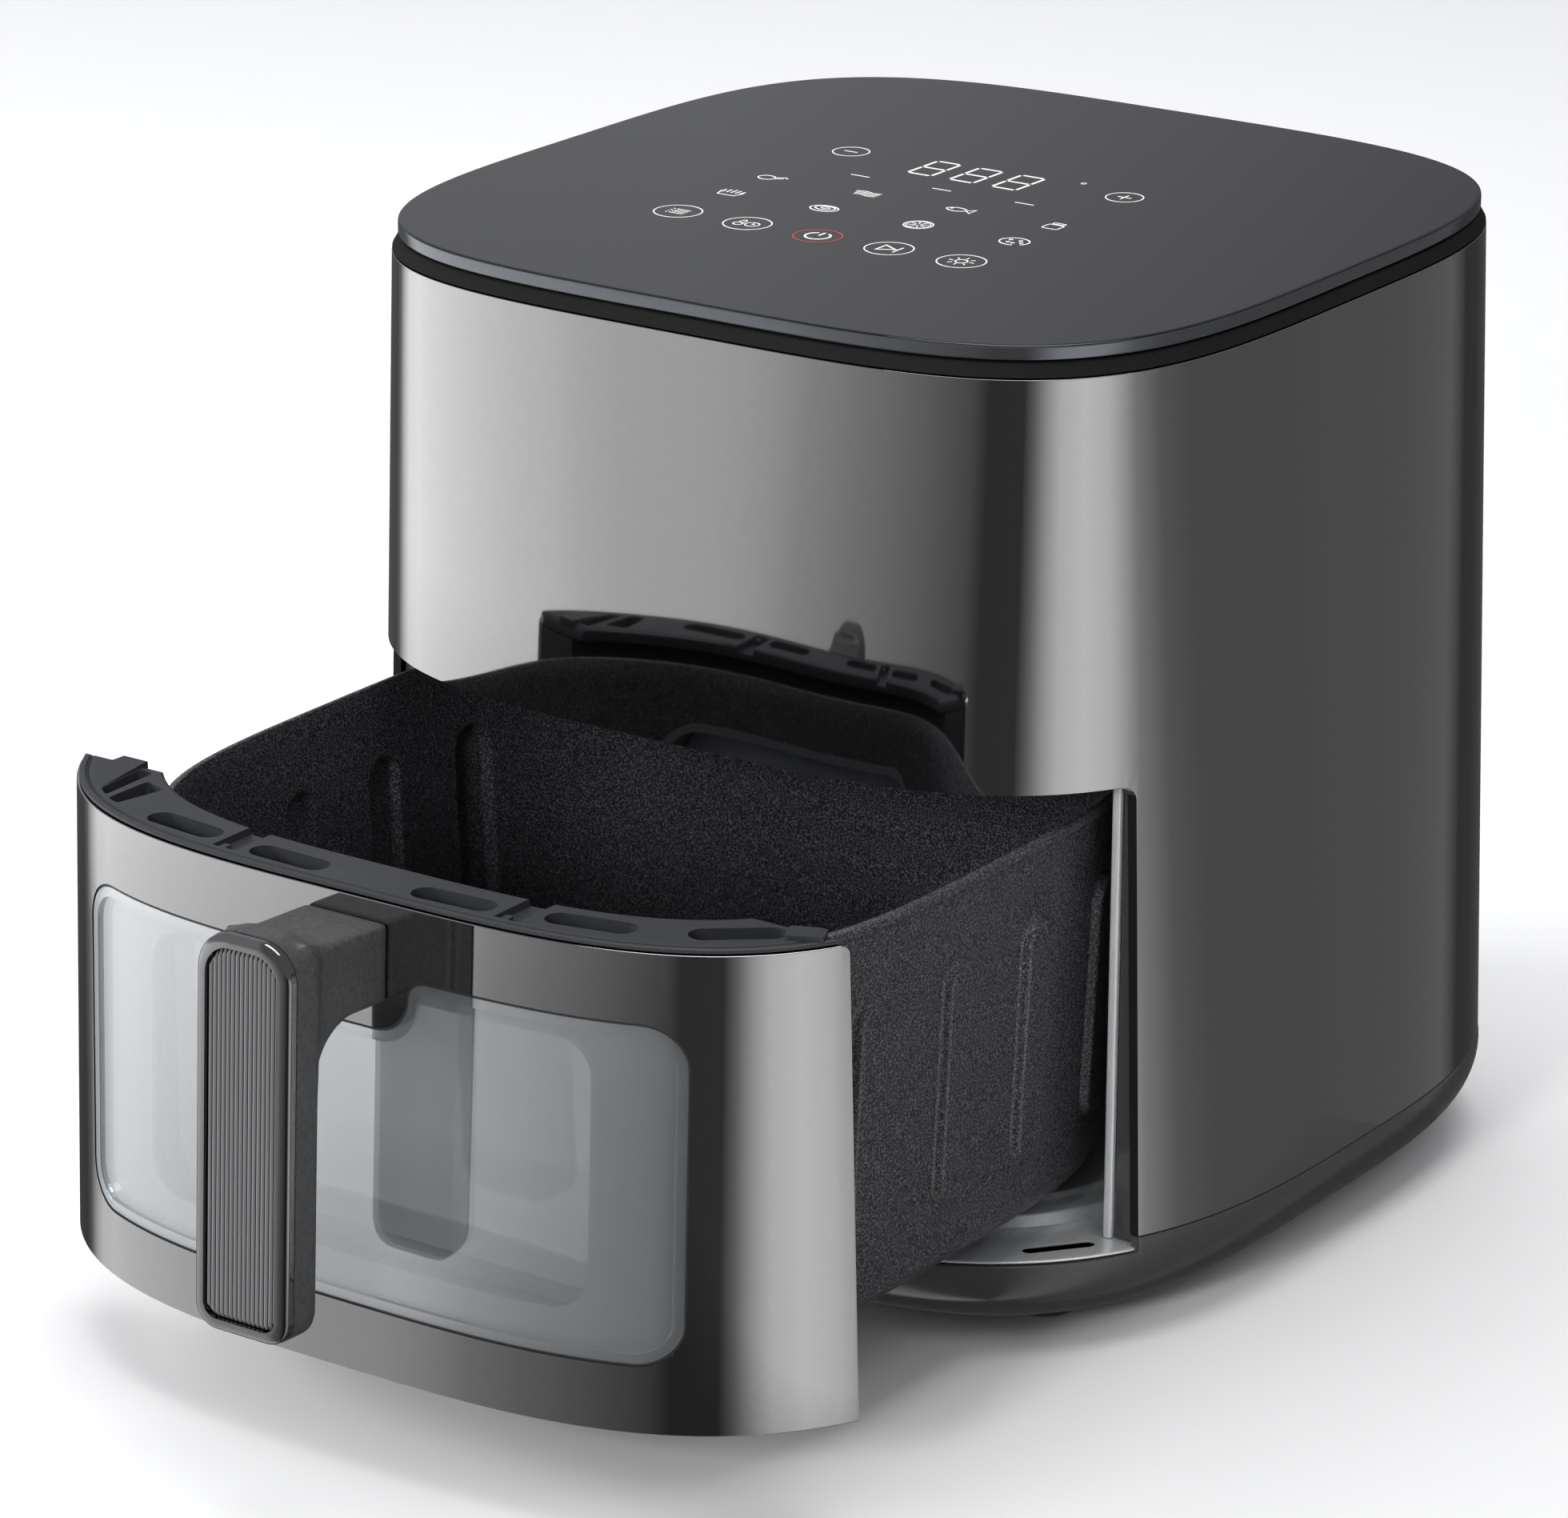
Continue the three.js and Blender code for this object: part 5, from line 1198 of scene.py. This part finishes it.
def build_insert(face):
    half, ribs, per_rib, rows = INSERT_HALF, INSERT_RIBS, 10, 70
    low, high = -GRIP_BELOW + HOOP + 0.3, GRIP_ABOVE - HOOP - 0.3
    columns = ribs * per_rib + 1
    vertices, faces = [], []
    for deep in (0, 1):
        for i in range(columns):
            x = -half + 2 * half * i / (columns - 1)
            trims = []
            for corner in (GRIP_FOOT_RADIUS - HOOP + 0.5, GRIP_TOP_RADIUS - HOOP + 0.5):
                past = max(0.0, abs(x) - (half - corner))
                trims.append(corner - math.sqrt(max(0.0, corner ** 2 - past ** 2)))
            for k in range(rows):
                share = k / (rows - 1)
                z = low + trims[0] + (high - low - sum(trims)) * share
                edge = min(1.0, min(z - low - trims[0], high - trims[1] - z) / 1.2, (half - abs(x)) / 0.9 + 0.05)
                ridge = 0.5 - 0.5 * math.cos(2 * math.pi * i / per_rib)
                lift = (1.4 * ridge ** 0.75) * max(0.0, edge)
                vertices.append((x, face + (3.8 if deep else 2.1 - lift), z))
    count = columns * rows
    for i in range(columns - 1):
        for k in range(rows - 1):
            a, b, c, d = i * rows + k, (i + 1) * rows + k, (i + 1) * rows + k + 1, i * rows + k + 1
            faces += [(a, b, c, d), (count + d, count + c, count + b, count + a)]
    border = [i * rows for i in range(columns)] + [(columns - 1) * rows + k for k in range(1, rows)]
    border += [i * rows + rows - 1 for i in reversed(range(columns - 1))] + [k for k in reversed(range(1, rows - 1))]
    for a, b in zip(border, border[1:] + border[:1]):
        faces.append((b, a, count + a, count + b))
    insert = new_object("handle_insert_fine", vertices, faces, "drawer")
    soften(insert, 0, sharp=70)
    on_front(insert)
    finish_piece(insert, "drawer", "grip_insert", "handle_insert")


# ---------------------------------------------------------------- scene
def dress_cad_nodes():
    slots = {row["node"]: row["material_slot"] for row in frame["record"]["subparts"]}
    for name, node in NODES.items():
        node.data.materials.clear()
        node.data.materials.append(TUNNEL_GREY if name == "window_tunnel" else MATERIALS[slots[name]])


set_camera()
set_world()
set_floor()
set_table_shade()
area_light("key", (-2.7, -1.7, 1.1), (0, 0, 0.15), (1.2, 1.2), 95, seen_in_gloss=False)
area_light("fill", (1.9, -0.6, 2.2), (0, 0, 0.2), (1.2, 1.2), 7, seen_in_gloss=False)
area_light("top", (0, 0.3, 3.0), (0, 0, 0.2), (2.2, 2.2), 55)
area_light("front", (0.4, -2.7, 1.2), (0, 0, 0.15), (0.5, 0.5), 34, seen_in_gloss=False)
bpy.context.scene.view_settings.view_transform = "Standard"

dress_cad_nodes()
build_shell()
build_base()
build_lid()
build_floor_plate()
build_jambs()
build_rear()
build_feet()
build_print()
build_drawer_front()
build_window()
build_drawer_inside()
build_collar()
build_pan()
build_crisper()
build_handle()
